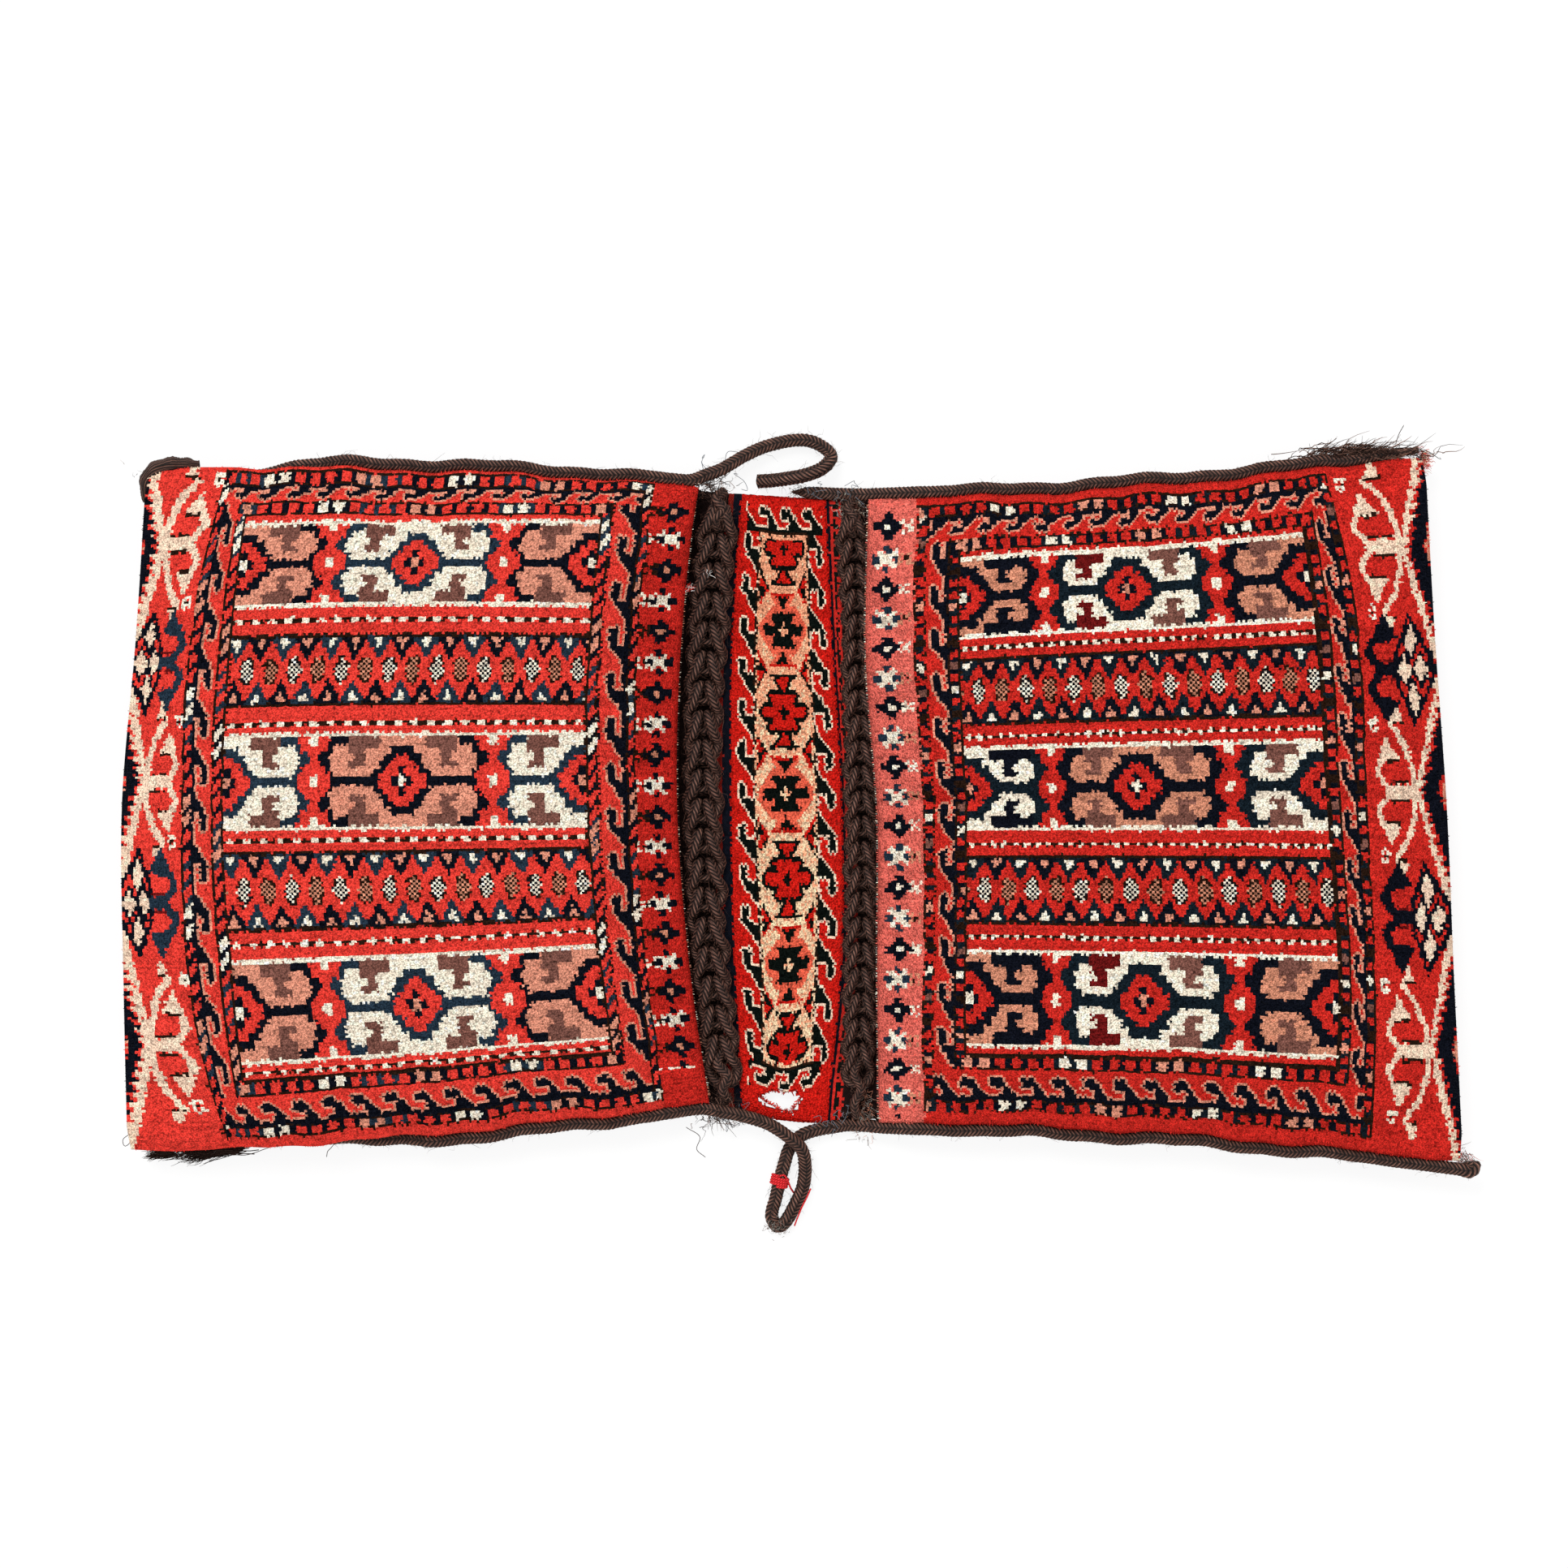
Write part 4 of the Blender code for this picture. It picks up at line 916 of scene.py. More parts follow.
def plaited_tube(route, diameter, around=20, relief=0.20, radii=None, rng=None):
    """A plaited cord along a route, as points, quads, triangles and the map of each of their corners.

    The radius follows a chevron plait: four rows of slanting strands, with a crease between rows. Each
    ring of the mesh zigzags with the strands, STEPS rings to a strand, and straightens near both ends.
    """
    n = len(route)
    step = np.arange(n, dtype=float)
    _, up, side = carried_frames(route)
    turn = np.arange(around + 1) / around
    row = (turn * 4) % 1
    zigzag = np.where(np.floor(turn * 4) % 2 == 0, row, 1 - row)
    lean = STRAND_LEAN * STEPS * (relief > 0)
    slack = np.clip(np.minimum(step, n - 1 - step) / (2.5 * STEPS), 0, 1)
    at = step[:, None] - (zigzag[None, :] - 0.5) * lean * slack[:, None]
    strand = np.abs(np.sin(np.pi * (at / STEPS + zigzag[None, :] * STRAND_LEAN)))
    crease = np.sin(np.pi * row)[None, :] ** 0.5
    r = diameter / 2 * (1 - relief + relief * crease * (0.15 + 0.85 * strand ** 0.7))
    if rng is not None:
        r = r * (1 + 0.02 * rng.standard_normal(r.shape))
    if radii is not None:
        r = r * np.interp(at, step, radii)
    centre, up, side = (np.stack([np.interp(at, step, path[:, k]) for k in range(3)], -1)
                        for path in (route, up, side))
    angle = 2 * np.pi * turn
    ring = np.cos(angle)[None, :, None] * up + np.sin(angle)[None, :, None] * side
    points = (centre + ring * r[..., None])[:, :-1]
    index = np.arange(n * around).reshape(n, around)
    wrapped = np.concatenate([index, index[:, :1]], 1)
    quads = grid_faces(wrapped)[:, ::-1]
    place = np.stack([at * STEP, np.broadcast_to(turn, at.shape)], -1)
    quad_map = grid_faces(place)[:, ::-1]
    ends = np.stack([route[0] - (route[1] - route[0]) * 0.8, route[-1] + (route[-1] - route[-2]) * 0.8])
    start = np.stack([wrapped[0, 1:], wrapped[0, :-1], np.full(around, n * around)], -1)[:, ::-1]
    close = np.stack([wrapped[-1, :-1], wrapped[-1, 1:], np.full(around, n * around + 1)], -1)[:, ::-1]
    caps = np.concatenate([start, close])
    cap_along = np.tile((0.0, (n - 1) * STEP), (3, 1)).T.repeat(around, 0)
    cap_map = np.stack([cap_along, np.random.default_rng(1).random((2 * around, 3))], -1)
    return np.concatenate([points.reshape(-1, 3), ends]), quads, caps, quad_map, cap_map


def joined(parts):
    """Several sets of points, quads, triangles and the maps of both as one set."""
    offset = np.cumsum([0] + [len(p[0]) for p in parts[:-1]])
    points, quads, triangles, quad_map, cap_map = (list(column) for column in zip(*parts))
    quads, triangles = ([faces + o for faces, o in zip(kind, offset)] for kind in (quads, triangles))
    return tuple(np.concatenate(column) for column in (points, quads, triangles, quad_map, cap_map))


def cord_piece(name, parts, material):
    """Cords as one mesh, with the map that their material's strands or plies follow."""
    points, quads, triangles, quad_map, cap_map = joined(parts)
    corner_map = np.concatenate([quad_map.reshape(-1, 2), cap_map.reshape(-1, 2)])
    return mesh_piece(name, points, [quads, triangles], [material], corner_map)


def wisps(name, roots, ways, lengths, thick, curl, steps, seed, dyes, taper):
    """Many fine hairs as one mesh: each is a three-sided tapering thread on a bent line.

    A hair leaves its root along its way and turns by a random curl that grows with the length.
    """
    rng = np.random.default_rng(seed)
    n = len(roots)
    ways = ways / np.linalg.norm(ways, axis=1, keepdims=True)
    t = np.linspace(0, 1, steps + 1)
    bend = np.clip(rng.normal(0, curl, (n, 3)), -1.5 * curl, 1.5 * curl)
    wave = np.clip(rng.normal(0, curl * 0.35, (n, 3)), -0.5 * curl, 0.5 * curl)
    line = ways[:, None, :] * t[None, :, None] + bend[:, None, :] * (t ** 2)[None, :, None]
    line = line + wave[:, None, :] * np.sin(t * 7.0)[None, :, None]
    line = roots[:, None, :] + line * lengths[:, None, None]
    line[..., 2] = np.maximum(line[..., 2], LOWEST)
    tangent = np.gradient(line, axis=1)
    tangent /= np.linalg.norm(tangent, axis=2, keepdims=True) + 1e-12
    side = np.cross(tangent, np.array([0.31, 0.47, 0.83]))
    side /= np.linalg.norm(side, axis=2, keepdims=True) + 1e-12
    other = np.cross(tangent, side)
    width = np.full((n, 1), thick) * (1 - taper * t ** 2)[None, :]
    turn = (np.arange(3) * 2 * np.pi / 3)[None, None, :, None]
    ring = side[:, :, None, :] * np.cos(turn) + other[:, :, None, :] * np.sin(turn)
    points = line[:, :, None, :] + ring * (width / 2)[:, :, None, None]
    index = np.arange(n * (steps + 1) * 3).reshape(n, steps + 1, 3)
    wrapped = np.concatenate([index, index[:, :, :1]], 2)
    quads = np.stack([wrapped[:, :-1, :-1], wrapped[:, :-1, 1:], wrapped[:, 1:, 1:], wrapped[:, 1:, :-1]], -1)
    caps = np.concatenate([index[:, 0, ::-1], index[:, -1, :]])
    paint = np.concatenate([np.repeat(dyes, steps * 3, axis=0), dyes, dyes])
    faces = [quads.reshape(-1, 4), caps]
    return mesh_piece(name, points.reshape(-1, 3), faces, [finish_named("loose_fibres")], colours=paint)


def on_bag(p, q, z):
    """Points of the frame from pattern places and heights."""
    x = (np.asarray(p, float) - ORIGIN[0]) * UNIT
    y = (ORIGIN[1] - np.asarray(q, float)) * UNIT
    return np.stack(np.broadcast_arrays(x, y, z), -1)


def thread(p, q, z, spacing, diameter, around=5):
    """A plain round thread through pattern places and heights."""
    return plaited_tube(smooth_route(on_bag(p, q, z), spacing), diameter, around, 0.0)


def shades(rng, count, names, spread):
    """A dye for each of many fibres: one of the named yarns at random, and a little lighter or darker."""
    table = linear(np.array([YARNS[name] for name in names]))
    picked = table[rng.integers(0, len(names), count)]
    return np.clip(picked * (1 + spread * rng.standard_normal((count, 1))), 0.003, 1)


def whiskers(routes, radius, each, rng):
    """Roots and ways of hairs that stand off a number of cords at random places."""
    roots, ways = [], []
    for route in routes:
        tangent, up, side = carried_frames(route)
        at = rng.integers(0, len(route), each)
        angle = rng.uniform(0, 2 * np.pi, each)
        out = np.cos(angle)[:, None] * up[at] + np.sin(angle)[:, None] * side[at]
        roots.append(route[at] + out * radius * 0.92)
        ways.append(out * 0.55 + tangent[at] * rng.choice([-1.0, 1.0], each)[:, None])
    return np.concatenate(roots), np.concatenate(ways)


def clump(rng, count, p, q, z, spread_p, spread_q, way, scatter):
    """Roots round a pattern place and ways round one direction, for a tuft or a smear of fibres."""
    places = [centre + rng.normal(0, spread, count)
              for centre, spread in ((p, spread_p), (q, spread_q), (z, 0.0015))]
    roots = on_bag(*places)
    ways = np.array(way, float) + rng.normal(0, scatter, (count, 3))
    return roots, ways


def group_with(name, inputs, outputs):
    """A node group with its named sockets, and its input and output nodes."""
    group = bpy.data.node_groups.new(name, "ShaderNodeTree")
    for label, kind, value in inputs:
        group.interface.new_socket(name=label, in_out="INPUT", socket_type=kind).default_value = value
    for label, kind in outputs:
        group.interface.new_socket(name=label, in_out="OUTPUT", socket_type=kind)
    return group, group.nodes.new("NodeGroupInput"), group.nodes.new("NodeGroupOutput")


def feed(tree, socket, value):
    """Set a socket, or link it where the value is another node's output."""
    if isinstance(value, bpy.types.NodeSocket):
        tree.links.new(value, socket)
    else:
        socket.default_value = value


def math_node(tree, operation, a, b=None):
    """A Math node with its inputs linked or set, and its output."""
    node = tree.nodes.new("ShaderNodeMath")
    node.operation = operation
    for socket, value in zip(node.inputs, (a, b)):
        if value is not None:
            feed(tree, socket, value)
    return node.outputs[0]


def noise_node(tree, vector, scale, detail=2.0):
    """The value of a noise of the given scale over places."""
    node = tree.nodes.new("ShaderNodeTexNoise")
    for label, value in (("Vector", vector), ("Scale", scale), ("Detail", detail)):
        feed(tree, node.inputs[label], value)
    return node.outputs["Fac"]


def mix_node(tree, factor, a, b):
    """A colour between two others."""
    node = tree.nodes.new("ShaderNodeMix")
    node.data_type = "RGBA"
    for label, value in (("Factor", factor), ("A", a), ("B", b)):
        feed(tree, node.inputs[label], value)
    return node.outputs["Result"]


def shaded(tree, colour, shade):
    """A colour times a number."""
    node = tree.nodes.new("ShaderNodeVectorMath")
    node.operation = "SCALE"
    tree.links.new(colour, node.inputs[0])
    tree.links.new(shade, node.inputs["Scale"])
    return node.outputs[0]


def raise_surface(tree, shader, height, distance, strength=1.0):
    """A Bump node between a height and the shader's normal."""
    node = tree.nodes.new("ShaderNodeBump")
    for label, value in (("Strength", strength), ("Distance", distance), ("Height", height)):
        feed(tree, node.inputs[label], value)
    tree.links.new(node.outputs["Normal"], shader.inputs["Normal"])


def dyes_of(tree):
    """The dyes that a piece keeps in its own attribute."""
    node = tree.nodes.new("ShaderNodeVertexColor")
    node.layer_name = "dye"
    return node.outputs["Color"]


def across_and_along(tree, place):
    """The first two numbers of a place."""
    node = tree.nodes.new("ShaderNodeSeparateXYZ")
    tree.links.new(place, node.inputs[0])
    return node.outputs["X"], node.outputs["Y"]


def rgba(colour):
    return (*linear(colour), 1)


def wool_group():
    """Tufts of wool: painted shade, darker in the gaps between small round tips and lighter on the tips, with
    a random mottle over it, and a height of those tips.
    """
    group, given, out = group_with(
        "wool_tufts", [("Colour", "NodeSocketColor", (1, 1, 1, 1)), ("Tufts", "NodeSocketFloat", 620.0),
                       ("Gap shade and mottle", "NodeSocketFloat", 0.3)],
        [("Colour", "NodeSocketColor"), ("Height", "NodeSocketFloat")])
    place = group.nodes.new("ShaderNodeTexCoord").outputs["Object"]
    tips = group.nodes.new("ShaderNodeTexVoronoi")
    group.links.new(place, tips.inputs["Vector"])
    group.links.new(given.outputs["Tufts"], tips.inputs["Scale"])
    dome = math_node(group, "SUBTRACT", 1.0, tips.outputs["Distance"])
    height = math_node(group, "MULTIPLY", dome, 1.3)
    for scale, detail, share in ((900.0, 3.0, 0.6), (300.0, 2.0, 0.35)):
        noise = noise_node(group, place, scale, detail)
        height = math_node(group, "ADD", height, math_node(group, "MULTIPLY", noise, share))
    # Painted shade: the colour is darker where the tufts' height is low, in the gaps between tips, and
    # lighter on the tips; the noises add a random mottle
    spread = math_node(group, "SUBTRACT", height, 1.12)
    shade = math_node(group, "ADD", math_node(group, "MULTIPLY", spread, given.outputs["Gap shade and mottle"]), 1.0)
    group.links.new(shaded(group, given.outputs["Colour"], shade), out.inputs["Colour"])
    group.links.new(height, out.inputs["Height"])
    return group


def tufted_dyes(tree, shader, gap_shade_and_mottle):
    """The piece's dyes, with painted shade between the wool tufts and a random mottle, into the shader, and
    the height of the tufts.
    """
    wool = tree.nodes.new("ShaderNodeGroup")
    wool.node_tree = bpy.data.node_groups.get("wool_tufts") or wool_group()
    wool.inputs["Gap shade and mottle"].default_value = gap_shade_and_mottle
    tree.links.new(dyes_of(tree), wool.inputs["Colour"])
    tree.links.new(wool.outputs["Colour"], shader.inputs["Base Color"])
    return wool.outputs["Height"]


def new_material(name, roughness, gloss):
    """A material with one shader that has a plain roughness and a plain specular level."""
    made = bpy.data.materials.new(name)
    made.use_nodes = True
    shader = made.node_tree.nodes["Principled BSDF"]
    shader.inputs["Roughness"].default_value = roughness
    shader.inputs["Specular IOR Level"].default_value = gloss
    return made, made.node_tree, shader


def pile_material():
    """Cut wool pile: the knots' dyes with painted shade between the tufts and a random mottle, dull, over a
    height of soft tufts.
    """
    made, tree, shader = new_material("knotted_pile", 0.92, 0.0)
    raise_surface(tree, shader, tufted_dyes(tree, shader, 1.0), 0.0016)
    return made


def weave_material():
    """Plain weave: the dye in fine over-and-under threads, as two crossed waves over the piece's place, with
    painted shade: lighter on the threads' tops and darker where they dip.
    """
    made, tree, shader = new_material("plain_weave", 0.9, 0.03)
    x, y = across_and_along(tree, tree.nodes.new("ShaderNodeTexCoord").outputs["Object"])
    across = math_node(tree, "SINE", math_node(tree, "MULTIPLY", x, 3600.0))
    down = math_node(tree, "SINE", math_node(tree, "MULTIPLY", y, 2600.0))
    threads = math_node(tree, "MULTIPLY", across, down)
    # Painted shade: lighter where the crossed waves rise and darker where they fall
    shade = math_node(tree, "ADD", math_node(tree, "MULTIPLY", threads, 0.12), 1.0)
    tree.links.new(shaded(tree, dyes_of(tree), shade), shader.inputs["Base Color"])
    raise_surface(tree, shader, threads, 0.0006, 0.5)
    return made


def hair_material():
    """Dark goat hair: slanting strands from the cord's own map, with painted shade in their creases and a
    painted highlight on their ridges that follows a noise of fine hairs.
    """
    made, tree, shader = new_material("goat_hair_plait", 0.65, 0.22)
    place = tree.nodes.new("ShaderNodeTexCoord")
    along, turn = across_and_along(tree, place.outputs["UV"])
    zigzag = math_node(tree, "PINGPONG", math_node(tree, "MULTIPLY", turn, 2.0), 0.5)
    lean = math_node(tree, "MULTIPLY", zigzag, 2.0 * STRAND_LEAN)
    strand = math_node(tree, "ADD", math_node(tree, "DIVIDE", along, STRAND), lean)
    ridge = math_node(tree, "ABSOLUTE", math_node(tree, "SINE", math_node(tree, "MULTIPLY", strand, np.pi)))
    row = math_node(tree, "SINE", math_node(tree, "MULTIPLY", turn, 4 * np.pi))
    row = math_node(tree, "POWER", math_node(tree, "ABSOLUTE", row), 0.5)
    ridge_height_and_crease_shade = math_node(tree, "MULTIPLY", math_node(tree, "POWER", ridge, 2.2), row)
    drawn = tree.nodes.new("ShaderNodeCombineXYZ")
    tree.links.new(math_node(tree, "MULTIPLY", strand, 6.0), drawn.inputs["X"])
    tree.links.new(math_node(tree, "MULTIPLY", along, 220.0), drawn.inputs["Y"])
    hairs = noise_node(tree, drawn.outputs[0], 1.0)
    patches = noise_node(tree, place.outputs["Object"], 150.0)
    # Painted highlight: lighter on the strands' ridges, broken by the hair noise and by patches
    ridge_highlight = math_node(tree, "MULTIPLY", math_node(tree, "SUBTRACT", hairs, 0.38), ridge)
    light = math_node(tree, "MULTIPLY", ridge_highlight, math_node(tree, "MULTIPLY", patches, 4.6))
    colour = mix_node(tree, light, rgba((0.265, 0.175, 0.150)), rgba((0.740, 0.530, 0.450)))
    # Painted shade: near black in the creases between strands and between rows
    colour = mix_node(tree, ridge_height_and_crease_shade, rgba((0.020, 0.012, 0.010)), colour)
    tree.links.new(colour, shader.inputs["Base Color"])
    height = math_node(tree, "ADD", ridge_height_and_crease_shade, math_node(tree, "MULTIPLY", hairs, 0.8))
    raise_surface(tree, shader, height, 0.0009, 0.9)
    return made


def strand_material():
    """Loose fibres, threads and stitches: the dye of each one with a faint painted shade between tufts and a
    random mottle.
    """
    made, tree, shader = new_material("loose_fibres", 0.8, 0.08)
    tufted_dyes(tree, shader, 0.5)
    return made


def yarn_material():
    """Red wool yarn: two plies that wind round it, from its own map, with painted shade in the groove between
    them.
    """
    made, tree, shader = new_material("red_wool_yarn", 0.9, 0.05)
    along, turn = across_and_along(tree, tree.nodes.new("ShaderNodeTexCoord").outputs["UV"])
    plies = math_node(tree, "MULTIPLY", turn, 2.0)
    wind = math_node(tree, "ADD", math_node(tree, "MULTIPLY", along, 420.0), plies)
    ply_height_and_groove_shade = math_node(tree, "ABSOLUTE", math_node(tree, "SINE", math_node(tree, "MULTIPLY", wind, np.pi)))
    # Painted shade: darker red in the groove, lighter on the plies' tops
    colour = mix_node(tree, ply_height_and_groove_shade, rgba((0.55, 0.08, 0.09)), rgba((0.93, 0.22, 0.24)))
    tree.links.new(colour, shader.inputs["Base Color"])
    raise_surface(tree, shader, ply_height_and_groove_shade, 0.0004)
    return made


FINISHES = {"knotted_pile": pile_material, "plain_weave": weave_material, "goat_hair_plait": hair_material,
            "loose_fibres": strand_material, "red_wool_yarn": yarn_material}


def finish_named(name):
    """A finish by its name, built the first time that it is wanted."""
    return bpy.data.materials.get(name) or FINISHES[name]()


LEFT_END_X, LEFT_MOUTH_X = (-0.538, -0.5585, -0.554), (-0.084, -0.098, -0.079)
RIGHT_MOUTH_X, RIGHT_END_X = (0.058, 0.066, 0.062), (0.513, 0.530, 0.546)
EDGES = {("left", 1): (0.279, 0.277, 0.264), ("left", -1): (-0.281, -0.267, -0.240),
         ("right", 1): (0.2536, 0.264, 0.290), ("right", -1): (-0.2565, -0.2655, -0.2905)}
BRIDGE_Y = {1: (0.262, 0.257, 0.2535), -1: (-0.240, -0.257, -0.2545)}
EDGE_CORD, LEFT_LOOP_CORD, RIGHT_LOOP_CORD, LOOP_PITCH = 0.0115, 0.0076, 0.0065, 3.2
MEETING = 0.016  # length of cord between the seam's last place and the free cord
DARK_HAIRS = ("hair", "hair", "hair_light")
CLEARANCE, LOOP_CLEARANCE, SEAM_CLEARANCE = 0.0003, 0.0005, -0.0002
LIP_STEP, CHAIN_MARGIN, TUCK = 0.0015, 0.007, 0.009
ROUTE_STEP = 0.012  # spacing of the places of a sewn cord


def quadratic(values, t):
    """The quadratic that has the three values at t = 0, 0.5 and 1."""
    start, middle, end = values
    return (start * (1 - t) * (1 - 2 * t)) + (middle * 4 * t * (1 - t)) + (end * t * (2 * t - 1))


def rim(edge, x):
    """y and height of the seam along one side of the bag at places x, and of the bridge between."""
    pick = 0 if edge > 0 else 2
    left_end, left_mouth = LEFT_END_X[pick], LEFT_MOUTH_X[pick]
    right_mouth, right_end = RIGHT_MOUTH_X[pick], RIGHT_END_X[pick]
    on_left = (x - left_end) / (left_mouth - left_end)
    on_right = (x - right_mouth) / (right_end - right_mouth)
    y = np.where(on_left < 1, quadratic(EDGES["left", edge], np.clip(on_left, 0, 1)),
                 quadratic(EDGES["right", edge], np.clip(on_right, 0, 1)))
    bridge = (x - left_mouth) / (right_mouth - left_mouth)
    middle = (bridge > 0) & (bridge < 1)
    y = np.where(middle, quadratic(BRIDGE_Y[edge], np.clip(bridge, 0, 1)), y)
    puckered = np.clip((abs(x) - 0.11) / 0.05, 0, 1) * np.clip((0.49 - abs(x)) / 0.05, 0, 1)
    y = y + puckered * (0.0016 * np.sin(x * 48 + edge) + 0.0008 * np.sin(x * 134 + 1))
    run = np.where(on_left < 1, (left_mouth - x), (x - right_mouth))
    seam = SEAM + (LIP - CLOTH / 2 - SEAM) * np.clip(1 - run / MOUTH_SLOPE, 0, 1) ** 2
    return y, np.where(middle, PILE / 2, seam)


def edge_route(edge, start_x, end_x, hidden=((-1.0, 0.0), (1.0, 0.0))):
    """The line of a sewn cord along a side edge: its radius out from the seam, under it where hidden."""
    step = np.sign(end_x - start_x) * ROUTE_STEP
    x = np.append(np.arange(start_x, end_x - step / 2, step), end_x)
    y, _ = rim(edge, x)
    near = x[:, None] + np.linspace(-0.025, 0.025, 9)[None, :]
    z = rim(edge, near)[1].mean(axis=1)
    reach = EDGE_CORD / 2 + SEAM_CLEARANCE
    k = np.interp(x, [place for place, _ in hidden], [share for _, share in hidden])
    slope = np.arctan2(SEAM - CLOTH / 2, UNDER_RUN)
    angle = np.clip(2 * k, 0, 1) * (np.pi / 2 - slope)
    slide = np.clip(2 * k - 1, 0, 1) * TUCK
    out = reach * np.cos(angle) - slide * np.cos(slope)
    down = reach * np.sin(angle) + slide * np.sin(slope) + CLOTH / 2 * np.clip(4 * k, 0, 1)
    return np.column_stack([x, y + edge * out, np.maximum(z - down, EDGE_CORD / 2 + 0.0008)])


def lead_in(end, following):
    """Two points in line with the end of a free cord, for the cord that meets it face to face."""
    along = (end - following) / np.linalg.norm(end - following)
    return end + along * (CLEARANCE + EDGE_CORD), end + along * CLEARANCE


def chain_routes(side, rng):
    """The loops of one mouth: each loop's legs stand in the loop before and fold over its bight."""
    d = LEFT_LOOP_CORD if side == "left" else RIGHT_LOOP_CORD
    sign = -1 if side == "left" else 1
    w = 1.5 * d + LOOP_CLEARANCE
    mouth = LEFT_MOUTH_X if side == "left" else RIGHT_MOUTH_X
    line = tuple(x - sign * (w + d / 2 + LOOP_CLEARANCE + LIP_STEP) for x in mouth)
    share = 0.0 if side == "left" else 1.0
    high = quadratic(BRIDGE_Y[1], share) - CHAIN_MARGIN - d
    low = quadratic(BRIDGE_Y[-1], share) + CHAIN_MARGIN
    rest = CLEARANCE + d / 2
    pitch = LOOP_PITCH * d
    over = rest + d + LOOP_CLEARANCE
    foot = d / 2 + LOOP_CLEARANCE / 2
    turn = np.radians(45)
    half = np.array([(0.0, foot, CLEARANCE), (0.08 * d, foot, rest + 0.78 * d),
                     (0.90 * d, 0.78 * d, over + 0.06 * d), (1.85 * d, 1.10 * d, over),
                     (2.80 * d, w, rest + 0.12 * d), (pitch, w, rest),
                     (pitch + w * np.sin(turn), w * np.cos(turn), rest), (pitch + w, 0.0, rest)])
    path = np.vstack([half, (half * (1, -1, 1))[-2::-1]])
    count = int((high - low - half[-1, 0] - d / 2) / pitch) + 1
    routes = []
    for n in range(count):
        tilt, slide, swell = rng.normal(0, 0.045), rng.normal(0, 0.0005), 1 + rng.normal(0, 0.05)
        y = high - n * pitch - path[:, 0] + tilt * path[:, 1]
        x = quadratic(line, (high - y) / (high - low)) + path[:, 1] * swell * 1.06
        x = x + slide + tilt * path[:, 0] * 0.4
        z = BACK + 0.0012 + path[:, 2] * 1.04
        routes.append(smooth_route(np.column_stack([x, y, z]), STEP))
    last = high - (count - 1) * pitch
    # The cord goes on from both ends of the chain, down to the cloth
    for y0, y1, lift in ((high + CHAIN_MARGIN + d, high - 2.2 * d, 1.9),
                         (last - 1.2 * d, low - CHAIN_MARGIN, 1.7)):
        y = np.linspace(y0, y1, 5)
        x = quadratic(line, (high - y) / (high - low)) + np.array([0.2, -0.5, 0.4, -0.3, 0.1]) * d
        z = BACK + d * np.array([0.9, lift, lift + 0.15, lift, 0.8])
        routes.append(smooth_route(np.column_stack([x, y, z]), STEP))
    return routes, d * 1.30


class SaddleBagSettings(bpy.types.PropertyGroup):
    """Sizes and colours that a user would change."""

    knot: FloatProperty(
        name="Knot", description="Width of one knot of the pile", default=0.00205, min=0.001, max=0.01,
        unit="LENGTH")
    pile_lift: FloatProperty(
        name="Pile lift", description="Height of the pile above the face cloth", default=0.0015, min=0.0,
        max=0.01, unit="LENGTH")
    paper: FloatVectorProperty(
        name="Floor", description="Colour of the floor and backdrop", subtype="COLOR",
        default=(1.0, 1.0, 1.0), min=0.0, max=1.0)
    sky: FloatProperty(
        name="Sky", description="Strength of the even light from all sides", default=0.95, min=0.0, max=3.0)
    key: FloatProperty(
        name="Key light", description="Strength of the soft light from the top of the picture",
        default=1.45, min=0.0, max=20.0)


def settle(piece, slot, *nodes):
    """A finished piece rides on the bag's one body and stands for its nodes, whose parts it hides; its slot
    is not used.
    """
    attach(piece, "root")
    if nodes:
        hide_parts(*nodes)


def dyed_hairs(name, slot, rng, roots, ways, span, thick, curl, steps, seed, yarns, spread=0.25, taper=0.75):
    """A settled piece of loose hairs: the lengths are drawn between the two of span, then the dyes."""
    lengths = rng.uniform(*span, len(roots))
    dyes = shades(rng, len(roots), yarns, spread)
    settle(wisps(name, roots, ways, lengths, thick, curl, steps, seed, dyes, taper), slot)


def thread_piece(name, parts, yarn):
    """Fine threads of one dye, settled as one piece."""
    points, quads, caps, _, _ = joined(parts)
    dyes = np.tile(linear(YARNS[yarn]), (len(quads) + len(caps), 1))
    settle(mesh_piece(name, points, [quads, caps], [finish_named("loose_fibres")], colours=dyes), "goat_hair")


def background_rays(tree):
    """1 for the rays that show the background: from the camera, off gloss and through glass."""
    rays = tree.nodes.new("ShaderNodeLightPath").outputs
    seen = math_node(tree, "MAXIMUM", rays["Is Camera Ray"], rays["Is Glossy Ray"])
    return math_node(tree, "MAXIMUM", seen, rays["Is Transmission Ray"])


